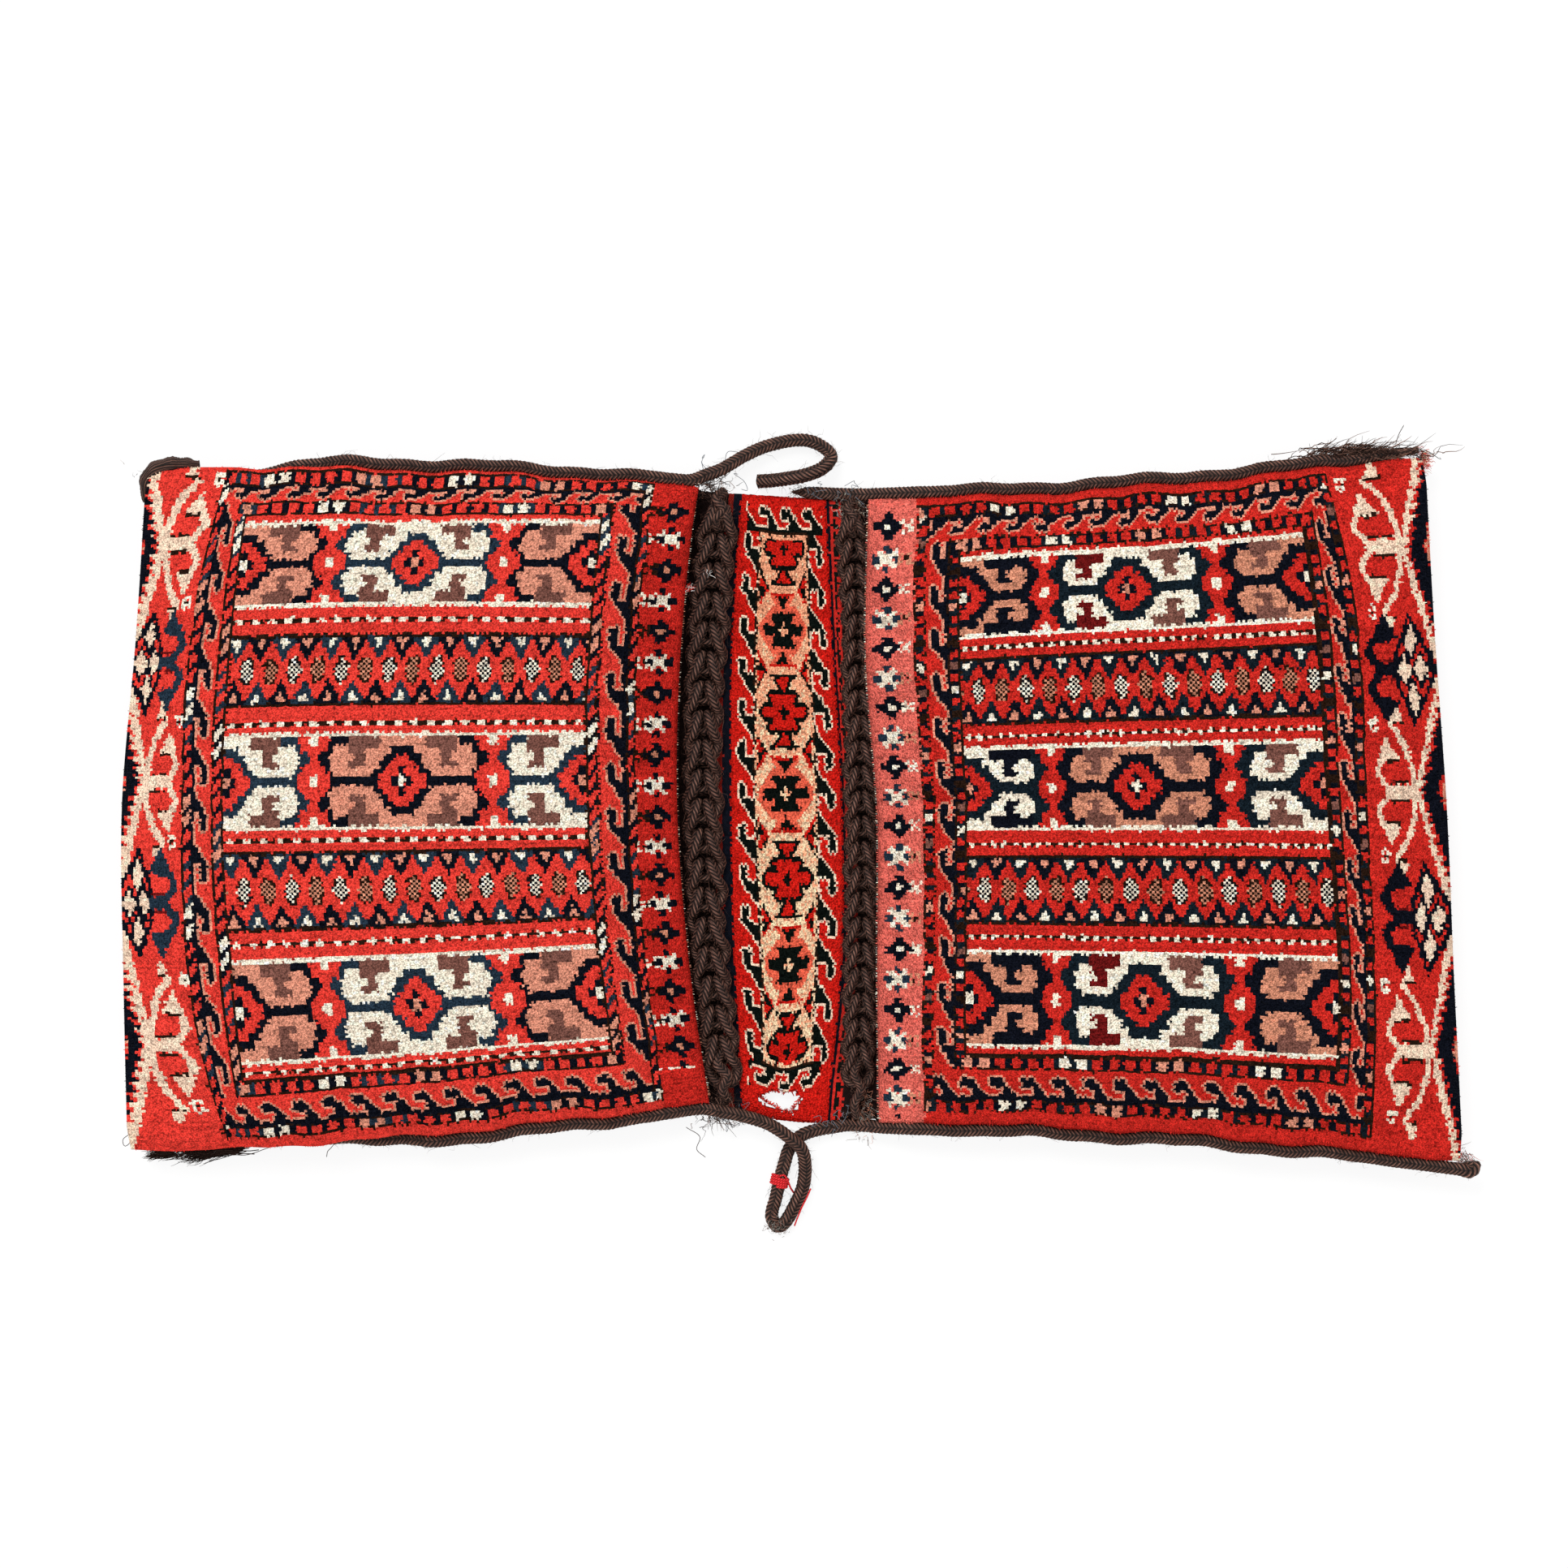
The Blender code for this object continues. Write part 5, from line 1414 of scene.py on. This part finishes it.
class SADDLEBAG_OT_stage(bpy.types.Operator):
    """Set up the floor, the light, the backdrop and the camera above the bag"""

    bl_idname = "saddle_bag.stage"
    bl_label = "Stage"

    def execute(self, context):
        settings = context.scene.saddle_bag
        scene = context.scene
        floor = mesh_piece("floor", np.array([(-6, -6, 0), (6, -6, 0), (6, 6, 0), (-6, 6, 0)], float),
                           [np.array([[0, 1, 2, 3]])], [])
        made, tree, shader = new_material("floor_paper", 1.0, 0.0)
        shader.inputs["Base Color"].default_value = (*settings.paper, 1)
        glow = tree.nodes.new("ShaderNodeEmission")
        glow.inputs["Color"].default_value = (*settings.paper, 1)
        mix = tree.nodes.new("ShaderNodeMixShader")
        tree.links.new(math_node(tree, "MULTIPLY", background_rays(tree), FLOOR_SEEN), mix.inputs[0])
        tree.links.new(shader.outputs[0], mix.inputs[1])
        tree.links.new(glow.outputs[0], mix.inputs[2])
        tree.links.new(mix.outputs[0], tree.nodes["Material Output"].inputs["Surface"])
        floor.data.materials.append(made)
        world = bpy.data.worlds.new("even_sky")
        world.use_nodes = True
        scene.world = world
        tree = world.node_tree
        sky = tree.nodes["Background"]
        sky.inputs["Color"].default_value = (1, 1, 1, 1)
        above = math_node(tree, "MULTIPLY", background_rays(tree), 1.0 - settings.sky)
        lifted = math_node(tree, "ADD", above, settings.sky)
        tree.links.new(lifted, sky.inputs["Strength"])
        lamp = bpy.data.lights.new("key", "SUN")
        lamp.energy = settings.key
        lamp.angle = 0.4
        key = bpy.data.objects.new("key", lamp)
        key.rotation_euler = (-0.55, -0.35, 0.0)
        scene.collection.objects.link(key)
        lens = bpy.data.cameras.new("camera")
        lens.sensor_width = 36.0
        lens.lens = 89.4
        lens.clip_end = 20.0
        camera = bpy.data.objects.new("camera", lens)
        camera.location = ((PICTURE_MIDDLE - ORIGIN[0]) * UNIT, (ORIGIN[1] - PICTURE_MIDDLE) * UNIT, EYE[2])
        scene.collection.objects.link(camera)
        scene.camera = camera
        scene.view_settings.view_transform = "Standard"
        return {"FINISHED"}


class SADDLEBAG_OT_pouches(bpy.types.Operator):
    """Knot the two stuffed pouches"""

    bl_idname = "saddle_bag.pouches"
    bl_label = "Pouches"

    def execute(self, context):
        finishes = [finish_named("knotted_pile"), finish_named("plain_weave")]
        left, left_pile = pouch_piece(
            "left_pouch", LEFT_DOWN, LEFT_ALONG, LEFT_COLUMNS, LEFT_ROWS, True, finishes)
        right, right_pile = pouch_piece(
            "right_pouch", RIGHT_DOWN, RIGHT_ALONG, RIGHT_COLUMNS, RIGHT_ROWS, False, finishes)
        settle(left_pile, "pile_cloth")
        settle(right_pile, "pile_cloth")
        settle(left, "pile_cloth", "bag_cloth")
        settle(right, "pile_cloth")
        return {"FINISHED"}


class SADDLEBAG_OT_bridge(bpy.types.Operator):
    """Lay the worn strip between the pouches"""

    bl_idname = "saddle_bag.bridge"
    bl_label = "Bridge"

    def execute(self, context):
        bridge = bridge_piece([finish_named("knotted_pile"), finish_named("plain_weave")])
        settle(bridge, "pile_cloth")
        return {"FINISHED"}


class SADDLEBAG_OT_chains(bpy.types.Operator):
    """Lay the two chains of closure loops"""

    bl_idname = "saddle_bag.chains"
    bl_label = "Closure chains"

    def execute(self, context):
        rng = np.random.default_rng(SEED + 20)
        for side in ("left", "right"):
            routes, thick = chain_routes(side, rng)
            parts = [plaited_tube(route, thick, 16, 0.24, rng=rng) for route in routes]
            chain = cord_piece(f"{side}_closure_chain", parts, finish_named("goat_hair_plait"))
            settle(chain, "goat_hair", *[f"{side}_closure_loop_{n + 1:02d}" for n in range(len(routes) - 2)])
            roots, ways = whiskers(routes, thick / 2, CHAIN_HAIRS, rng)
            dyed_hairs(f"{side}_chain_hairs", "goat_hair", rng, roots, ways, (0.004, 0.013), 0.00024, 0.5, 3,
                       SEED + 21, DARK_HAIRS)
        return {"FINISHED"}


class SADDLEBAG_OT_cords(bpy.types.Operator):
    """Sew the plaited cords along the side edges and lay the two free ones"""

    bl_idname = "saddle_bag.cords"
    bl_label = "Cords"
    routes = []

    def execute(self, context):
        rng = np.random.default_rng(SEED + 30)
        hair = finish_named("goat_hair_plait")
        self.routes = []
        loose = smooth_route(LOOSE_END_ROUTE, STEP)
        loop = smooth_route(CARRY_LOOP_ROUTE, STEP)
        for name, edge, end, free, hidden in (
                ("top_left_edge_cord", 1, LEFT_END_X[0], loose, ((-0.460, 1.0), (-0.360, 0.0))),
                ("bottom_left_edge_cord", -1, LEFT_END_X[2], loop, ((-0.400, 1.0), (-0.300, 0.0)))):
            far, near = lead_in(free[0], free[9])
            seam = edge_route(edge, end + ROUTE_STEP, far[0] - MEETING, hidden)
            self.sew(name, np.vstack([seam, far, near]), hair, rng)
        route = edge_route(1, -0.006, RIGHT_END_X[0] - 0.006)
        self.sew("top_right_edge_cord", route, hair, rng)
        far, near = lead_in(loop[-1], loop[-10])
        y, z = rim(-1, np.array([RIGHT_END_X[2]]))
        angle = np.radians(np.array([-75.0, -45.0, -15.0, 15.0]))
        reach = EDGE_CORD / 2 + SEAM_CLEARANCE
        wrap = np.column_stack([RIGHT_END_X[2] + reach * np.cos(angle), y[0] + reach * np.sin(angle),
                                np.full(4, z[0])])
        route = np.vstack([near, far, edge_route(-1, far[0] + MEETING, RIGHT_END_X[2] - 0.006), wrap])
        self.sew("bottom_right_edge_cord", route, hair, rng)
        for name, path, far_end in (("top_loose_end", loose, "bare"), ("bottom_carry_loop", loop, "object")):
            piece = cord_piece(name + "_plait", [plaited_tube(path, EDGE_CORD * SWELL, rng=rng)], hair)
            settle(piece, "goat_hair", name)
        roots, ways = whiskers(self.routes + [loose, loop], EDGE_CORD / 2, CORD_HAIRS, rng)
        dyed_hairs("cord_hairs", "goat_hair", rng, roots, ways, (0.002, 0.0075), 0.00026, 0.5, 3, SEED + 31,
                   DARK_HAIRS)
        return {"FINISHED"}

    def sew(self, name, route, hair, rng):
        """A plait along a route, thicker at the knob of one cord and thinner at the worn ends of another."""
        route = smooth_route(route, STEP)
        self.routes.append(route)
        done = np.arange(len(route)) * STEP
        radii = np.ones(len(route))
        if name == "bottom_right_edge_cord":  # its knob
            radii += 0.42 * np.exp(-((done[-1] - done - 0.006) / 0.0055) ** 2)
        if name == "top_right_edge_cord":  # its frayed start and its thin end
            radii -= (0.75 * np.exp(-(done / 0.008) ** 2)
                      + 0.5 * np.clip(1 - (done[-1] - done) / 0.055, 0, 1))
        plait = plaited_tube(route, EDGE_CORD * SWELL, radii=radii, rng=rng)
        settle(cord_piece(name + "_plait", [plait], hair), "goat_hair", name)


def mouth_line(left, count):
    """Points along the upper edge of a mouth, and which way the pouch lies from it."""
    down, along, rows = (LEFT_DOWN, LEFT_ALONG, LEFT_ROWS) if left else (RIGHT_DOWN, RIGHT_ALONG, RIGHT_ROWS)
    top, bottom = rows["ends"]
    q = np.linspace(top + 6, bottom - 6, count)
    share = (q - top) / (bottom - top)
    x = (laid(np.array([down[-1 if left else 0][0]], float), share, down)[:, 0] - ORIGIN[0]) * UNIT
    y = (ORIGIN[1] - laid(q, np.array([1.0 if left else 0.0]), along)[0]) * UNIT
    upper, _ = pouch_heights(np.zeros(count), 1 - share, 0.46)
    return np.column_stack([x, y, upper]), (-1.0 if left else 1.0)


class SADDLEBAG_OT_sewing(bpy.types.Operator):
    """Overcast the two mouths and lay the sewing threads"""

    bl_idname = "saddle_bag.sewing"
    bl_label = "Sewing"

    def execute(self, context):
        rng = np.random.default_rng(SEED + 40)
        for side, yarns in (("left", ("cream", "tan", "brown", "hair", "hair")),
                            ("right", ("cream", "tan", "grey", "brown", "rose"))):
            line, way = mouth_line(side == "left", STITCHES)
            count = len(line)
            ways = np.column_stack([np.full(count, way), rng.normal(0, 0.15, count), np.full(count, 0.35)])
            roots = line + np.array([-way * 0.0012, 0, 0.0002]) + rng.normal(0, 0.0002, (count, 3))
            dyed_hairs(side + "_mouth_stitches", "pile_cloth", rng, roots, ways, (0.0028, 0.0046), 0.0010,
                       0.05, 3, SEED + 41, yarns, 0.15, 0.3)
        threads = []
        for p, q, z, reach, number in ((884, 590, 0.012, 17, 9), (1000, 604, 0.012, 10, 5),
                                       (1046, 607, 0.012, 14, 7), (902, 1373, 0.012, 20, 11),
                                       (950, 1386, 0.012, 7, 4), (1036, 1385, 0.014, 14, 7)):
            for _ in range(number):
                start = np.array([p + rng.normal(0, reach * 0.7), q + rng.normal(0, 5)])
                steps = np.cumsum(rng.normal(0, reach * 0.35, (5, 2)), axis=0)
                heights = z + np.abs(rng.normal(0, 0.003, 5))
                threads.append(thread(*(start + steps).T, heights, THREAD_STEP, 0.0005))
        thread_piece("sewing_threads", threads, "slate")
        return {"FINISHED"}


# Each smear of fibres: its pattern place and height, its spreads, the way it points, scatter, curl, number,
# shortest and longest fibre, thickness and yarns
SMEARS = [
    ("fray_bottom_left", (286, 1416, 0.012), (9, 3.0), (-1.0, -0.03, 0.0), 0.05, 0.10, 240, (0.020, 0.050),
     0.00095, ("hair",)),
    ("fray_bottom_end", (208, 1424, 0.010), (6, 2.2), (-1.0, -0.12, 0.0), 0.06, 0.10, 120, (0.010, 0.022),
     0.00085, ("hair",)),
    ("fray_bottom_edge", (262, 1423, 0.010), (12, 2.0), (-1.0, -0.20, 0.0), 0.06, 0.12, 120, (0.012, 0.030),
     0.00075, ("hair",)),
    ("fray_top_left", (208, 586, 0.030), (20, 5), (-0.6, 0.5, 0.1), 0.6, 0.5, 90, (0.002, 0.006), 0.00035,
     DARK_HAIRS),
    ("fray_top_right", (1668, 560, 0.031), (34, 5.0), (1.0, 0.16, 0.03), 0.14, 0.24, 460, (0.008, 0.024),
     0.00080, DARK_HAIRS),
    ("fray_end_right", (1753, 566, 0.026), (3, 6), (1.0, -0.2, 0.1), 0.4, 0.5, 120, (0.003, 0.006), 0.00070,
     ("rose", "shell", "red")),
    ("fray_knob", (1806, 1427, 0.016), (5, 6), (0.4, -0.7, 0.1), 0.5, 0.5, 80, (0.004, 0.010), 0.00045,
     ("rose", "hair_light", "grey")),
    ("fray_cord_start", (985, 603, 0.010), (6, 4), (-0.7, -0.1, 0.2), 0.4, 0.4, 60, (0.002, 0.006), 0.00040,
     DARK_HAIRS),
    ("fray_right_braid_top", (1050, 628, 0.012), (10, 9), (0.0, 0.3, 0.7), 0.9, 0.5, 150, (0.003, 0.008),
     0.00055, ("grey", "hair_light", "cream", "brown")),
    ("fray_right_braid_foot", (1066, 1372, 0.012), (8, 15), (0.0, -0.3, 0.6), 0.9, 0.5, 150, (0.003, 0.009),
     0.00045, ("grey", "hair_light", "tan")),
    ("fluff_left_mouth", (849, 725, 0.026), (3, 3), (0.3, 0.2, 0.6), 0.6, 0.5, 30, (0.002, 0.004), 0.00050,
     ("white", "red")),
    ("fluff_left_braid", (871, 706, 0.022), (3, 2), (0.5, 0.1, 0.6), 0.6, 0.5, 16, (0.002, 0.004), 0.00050,
     ("white",)),
    ("fray_loop_tip", (958, 1514, 0.010), (6, 6), (0.0, 0.2, 0.4), 0.8, 0.5, 90, (0.002, 0.005), 0.00036,
     ("grey", "hair_light")),
    ("fray_left_foot", (884, 1368, 0.018), (12, 9), (0.3, -0.5, 0.2), 0.5, 0.5, 160, (0.004, 0.011), 0.00060,
     DARK_HAIRS),
    ("fray_left_head", (876, 600, 0.016), (13, 8), (0.2, 0.5, 0.4), 0.6, 0.5, 110, (0.004, 0.010), 0.00060,
     DARK_HAIRS),
]
# Pattern places and heights of the cord's felted end and of the red yarn's two tails
FELTED_END = ([182, 181, 187, 203, 224, 246], [617, 601, 586, 577, 574, 574],
              [0.022, 0.026, 0.029, 0.030, 0.030, 0.028])
YARN_TAIL = ([966, 971, 974, 978], [1450, 1458, 1466, 1473], [0.014, 0.012, 0.009, 0.004])
YARN_OTHER_TAIL = ([999, 994, 988, 983, 979], [1467, 1478, 1490, 1502, 1513],
                   [0.012, 0.0135, 0.013, 0.0125, 0.010])
# Single long hairs that lie loose beside the bag: pattern places, and the heights of both ends
STRAY_HAIRS = [
    ([279, 300, 325, 347, 353, 361, 358, 349], [1424, 1425, 1417, 1408, 1404, 1406, 1411, 1408],
     0.012, 0.022),
    ([414, 407, 402, 400], [1406, 1415, 1420, 1427], 0.024, 0.012),
    ([1719, 1722, 1727], [547, 536, 526], 0.030, 0.036),
    ([162, 152, 154, 160, 160], [1396, 1404, 1412, 1408, 1397], 0.029, 0.027),
    ([846, 862, 858, 868], [1390, 1402, 1418, 1428], 0.022, 0.008),
]


class SADDLEBAG_OT_wear(bpy.types.Operator):
    """Add the frays, tufts and torn threads of an old bag"""

    bl_idname = "saddle_bag.wear"
    bl_label = "Wear"

    def execute(self, context):
        rng = np.random.default_rng(SEED + 50)
        for name, (p, q, z), spreads, way, scatter, curl, count, span, thick, yarns in SMEARS:
            roots, ways = clump(rng, count, p, q, z, *spreads, way, scatter)
            of_wool = name in ("fray_end_right", "fluff_left_mouth", "fluff_left_braid")
            slot = "pile_cloth" if of_wool else "goat_hair"
            dyed_hairs(name, slot, rng, roots, ways, span, thick, curl, 5, SEED + count, yarns)
        # Threads round the torn hole, and the felted end of the cord at the corner
        edge = np.array(WORN_HOLE, float)
        at = rng.uniform(0, len(edge), TORN_THREADS)
        k, f = at.astype(int), (at % 1)[:, None]
        place = edge[k] * (1 - f) + edge[(k + 1) % len(edge)] * f
        inward = (edge.mean(0) - place) * (1, -1)
        inward /= np.linalg.norm(inward, axis=1, keepdims=True)
        ways = np.column_stack([inward + rng.normal(0, 0.5, inward.shape), rng.normal(0.3, 0.3, len(inward))])
        dyed_hairs("torn_hole_threads", "pile_cloth", rng, on_bag(place[:, 0], place[:, 1], 0.007), ways,
                   (0.0012, 0.0036), 0.0014, 0.3, 3, SEED + 60,
                   ("white", "rose", "red", "bridge_red", "bridge_red"), taper=0.4)
        blob = smooth_route(on_bag(*FELTED_END), STEP)
        share = np.linspace(0, 1, len(blob))
        swell = 0.55 + 0.85 * np.sin(np.pi * np.clip(share, 0.06, 0.94)) ** 0.7 + 0.10 * np.sin(share * 31)
        swell = swell * rng.normal(1.0, 0.02, len(blob))
        points, quads, caps, quad_map, cap_map = plaited_tube(blob, EDGE_CORD, 24, 0.0, swell, rng)
        felt = (points, quads, caps, quad_map * (0.12, 3.0), cap_map)
        settle(cord_piece("felted_cord_end", [felt], finish_named("goat_hair_plait")), "goat_hair")
        hairs = [thread(p, q, np.linspace(first, last, len(p)), THREAD_STEP, 0.0006)
                 for p, q, first, last in STRAY_HAIRS]
        thread_piece("stray_hairs", hairs, "hair")
        # The red yarn: turns round one leg of the carry loop, and its two tails
        loop = smooth_route(CARRY_LOOP_ROUTE, STEP)
        _, up, side = carried_frames(loop)
        middle = int(0.735 * len(loop))
        turns = np.linspace(0, 4, 90)
        where = middle + (turns - 2) * 0.0021 / STEP
        i = where.astype(int)
        wound = np.stack([np.interp(where, np.arange(len(loop)), loop[:, k]) for k in range(3)], -1)
        angle = 2 * np.pi * turns
        ring = np.cos(angle)[:, None] * up[i] + np.sin(angle)[:, None] * side[i]
        coil = wound + ring * (EDGE_CORD / 2 + 0.0011)
        tail = np.vstack([coil[-1], on_bag(*YARN_TAIL)])
        parts = [plaited_tube(smooth_route(line, YARN_STEP), diameter, around, 0.0)
                 for line, diameter, around in ((coil, 0.0022, 10), (tail, 0.0016, 8),
                                                (on_bag(*YARN_OTHER_TAIL), 0.0013, 8))]
        settle(cord_piece("red_yarn_wrap", parts, finish_named("red_wool_yarn")), "red_yarn", "red_yarn_tie")
        return {"FINISHED"}


class SADDLEBAG_PT_looks(bpy.types.Panel):
    """Lists the pieces of the bag in the sidebar"""

    bl_idname = "SADDLEBAG_PT_looks"
    bl_label = "Saddle Bag"
    bl_space_type = "VIEW_3D"
    bl_region_type = "UI"
    bl_category = "Saddle Bag"

    def draw(self, context):
        settings = context.scene.saddle_bag
        for name in ("knot", "pile_lift", "paper", "sky", "key"):
            self.layout.prop(settings, name)
        for operator in OPERATORS:
            self.layout.operator(operator.bl_idname)


OPERATORS = (SADDLEBAG_OT_stage, SADDLEBAG_OT_pouches, SADDLEBAG_OT_bridge, SADDLEBAG_OT_chains,
             SADDLEBAG_OT_cords, SADDLEBAG_OT_sewing, SADDLEBAG_OT_wear)
CLASSES = (SaddleBagSettings, *OPERATORS, SADDLEBAG_PT_looks)


def register():
    for made in CLASSES:
        bpy.utils.register_class(made)
    bpy.types.Scene.saddle_bag = PointerProperty(type=SaddleBagSettings)


def unregister():
    del bpy.types.Scene.saddle_bag
    for made in reversed(CLASSES):
        bpy.utils.unregister_class(made)


def main():
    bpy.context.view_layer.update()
    register()
    bpy.ops.saddle_bag.stage()
    bpy.ops.saddle_bag.pouches()
    bpy.ops.saddle_bag.bridge()
    bpy.ops.saddle_bag.chains()
    bpy.ops.saddle_bag.cords()
    bpy.ops.saddle_bag.sewing()
    bpy.ops.saddle_bag.wear()
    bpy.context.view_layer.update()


if __name__ == "__main__":
    main()
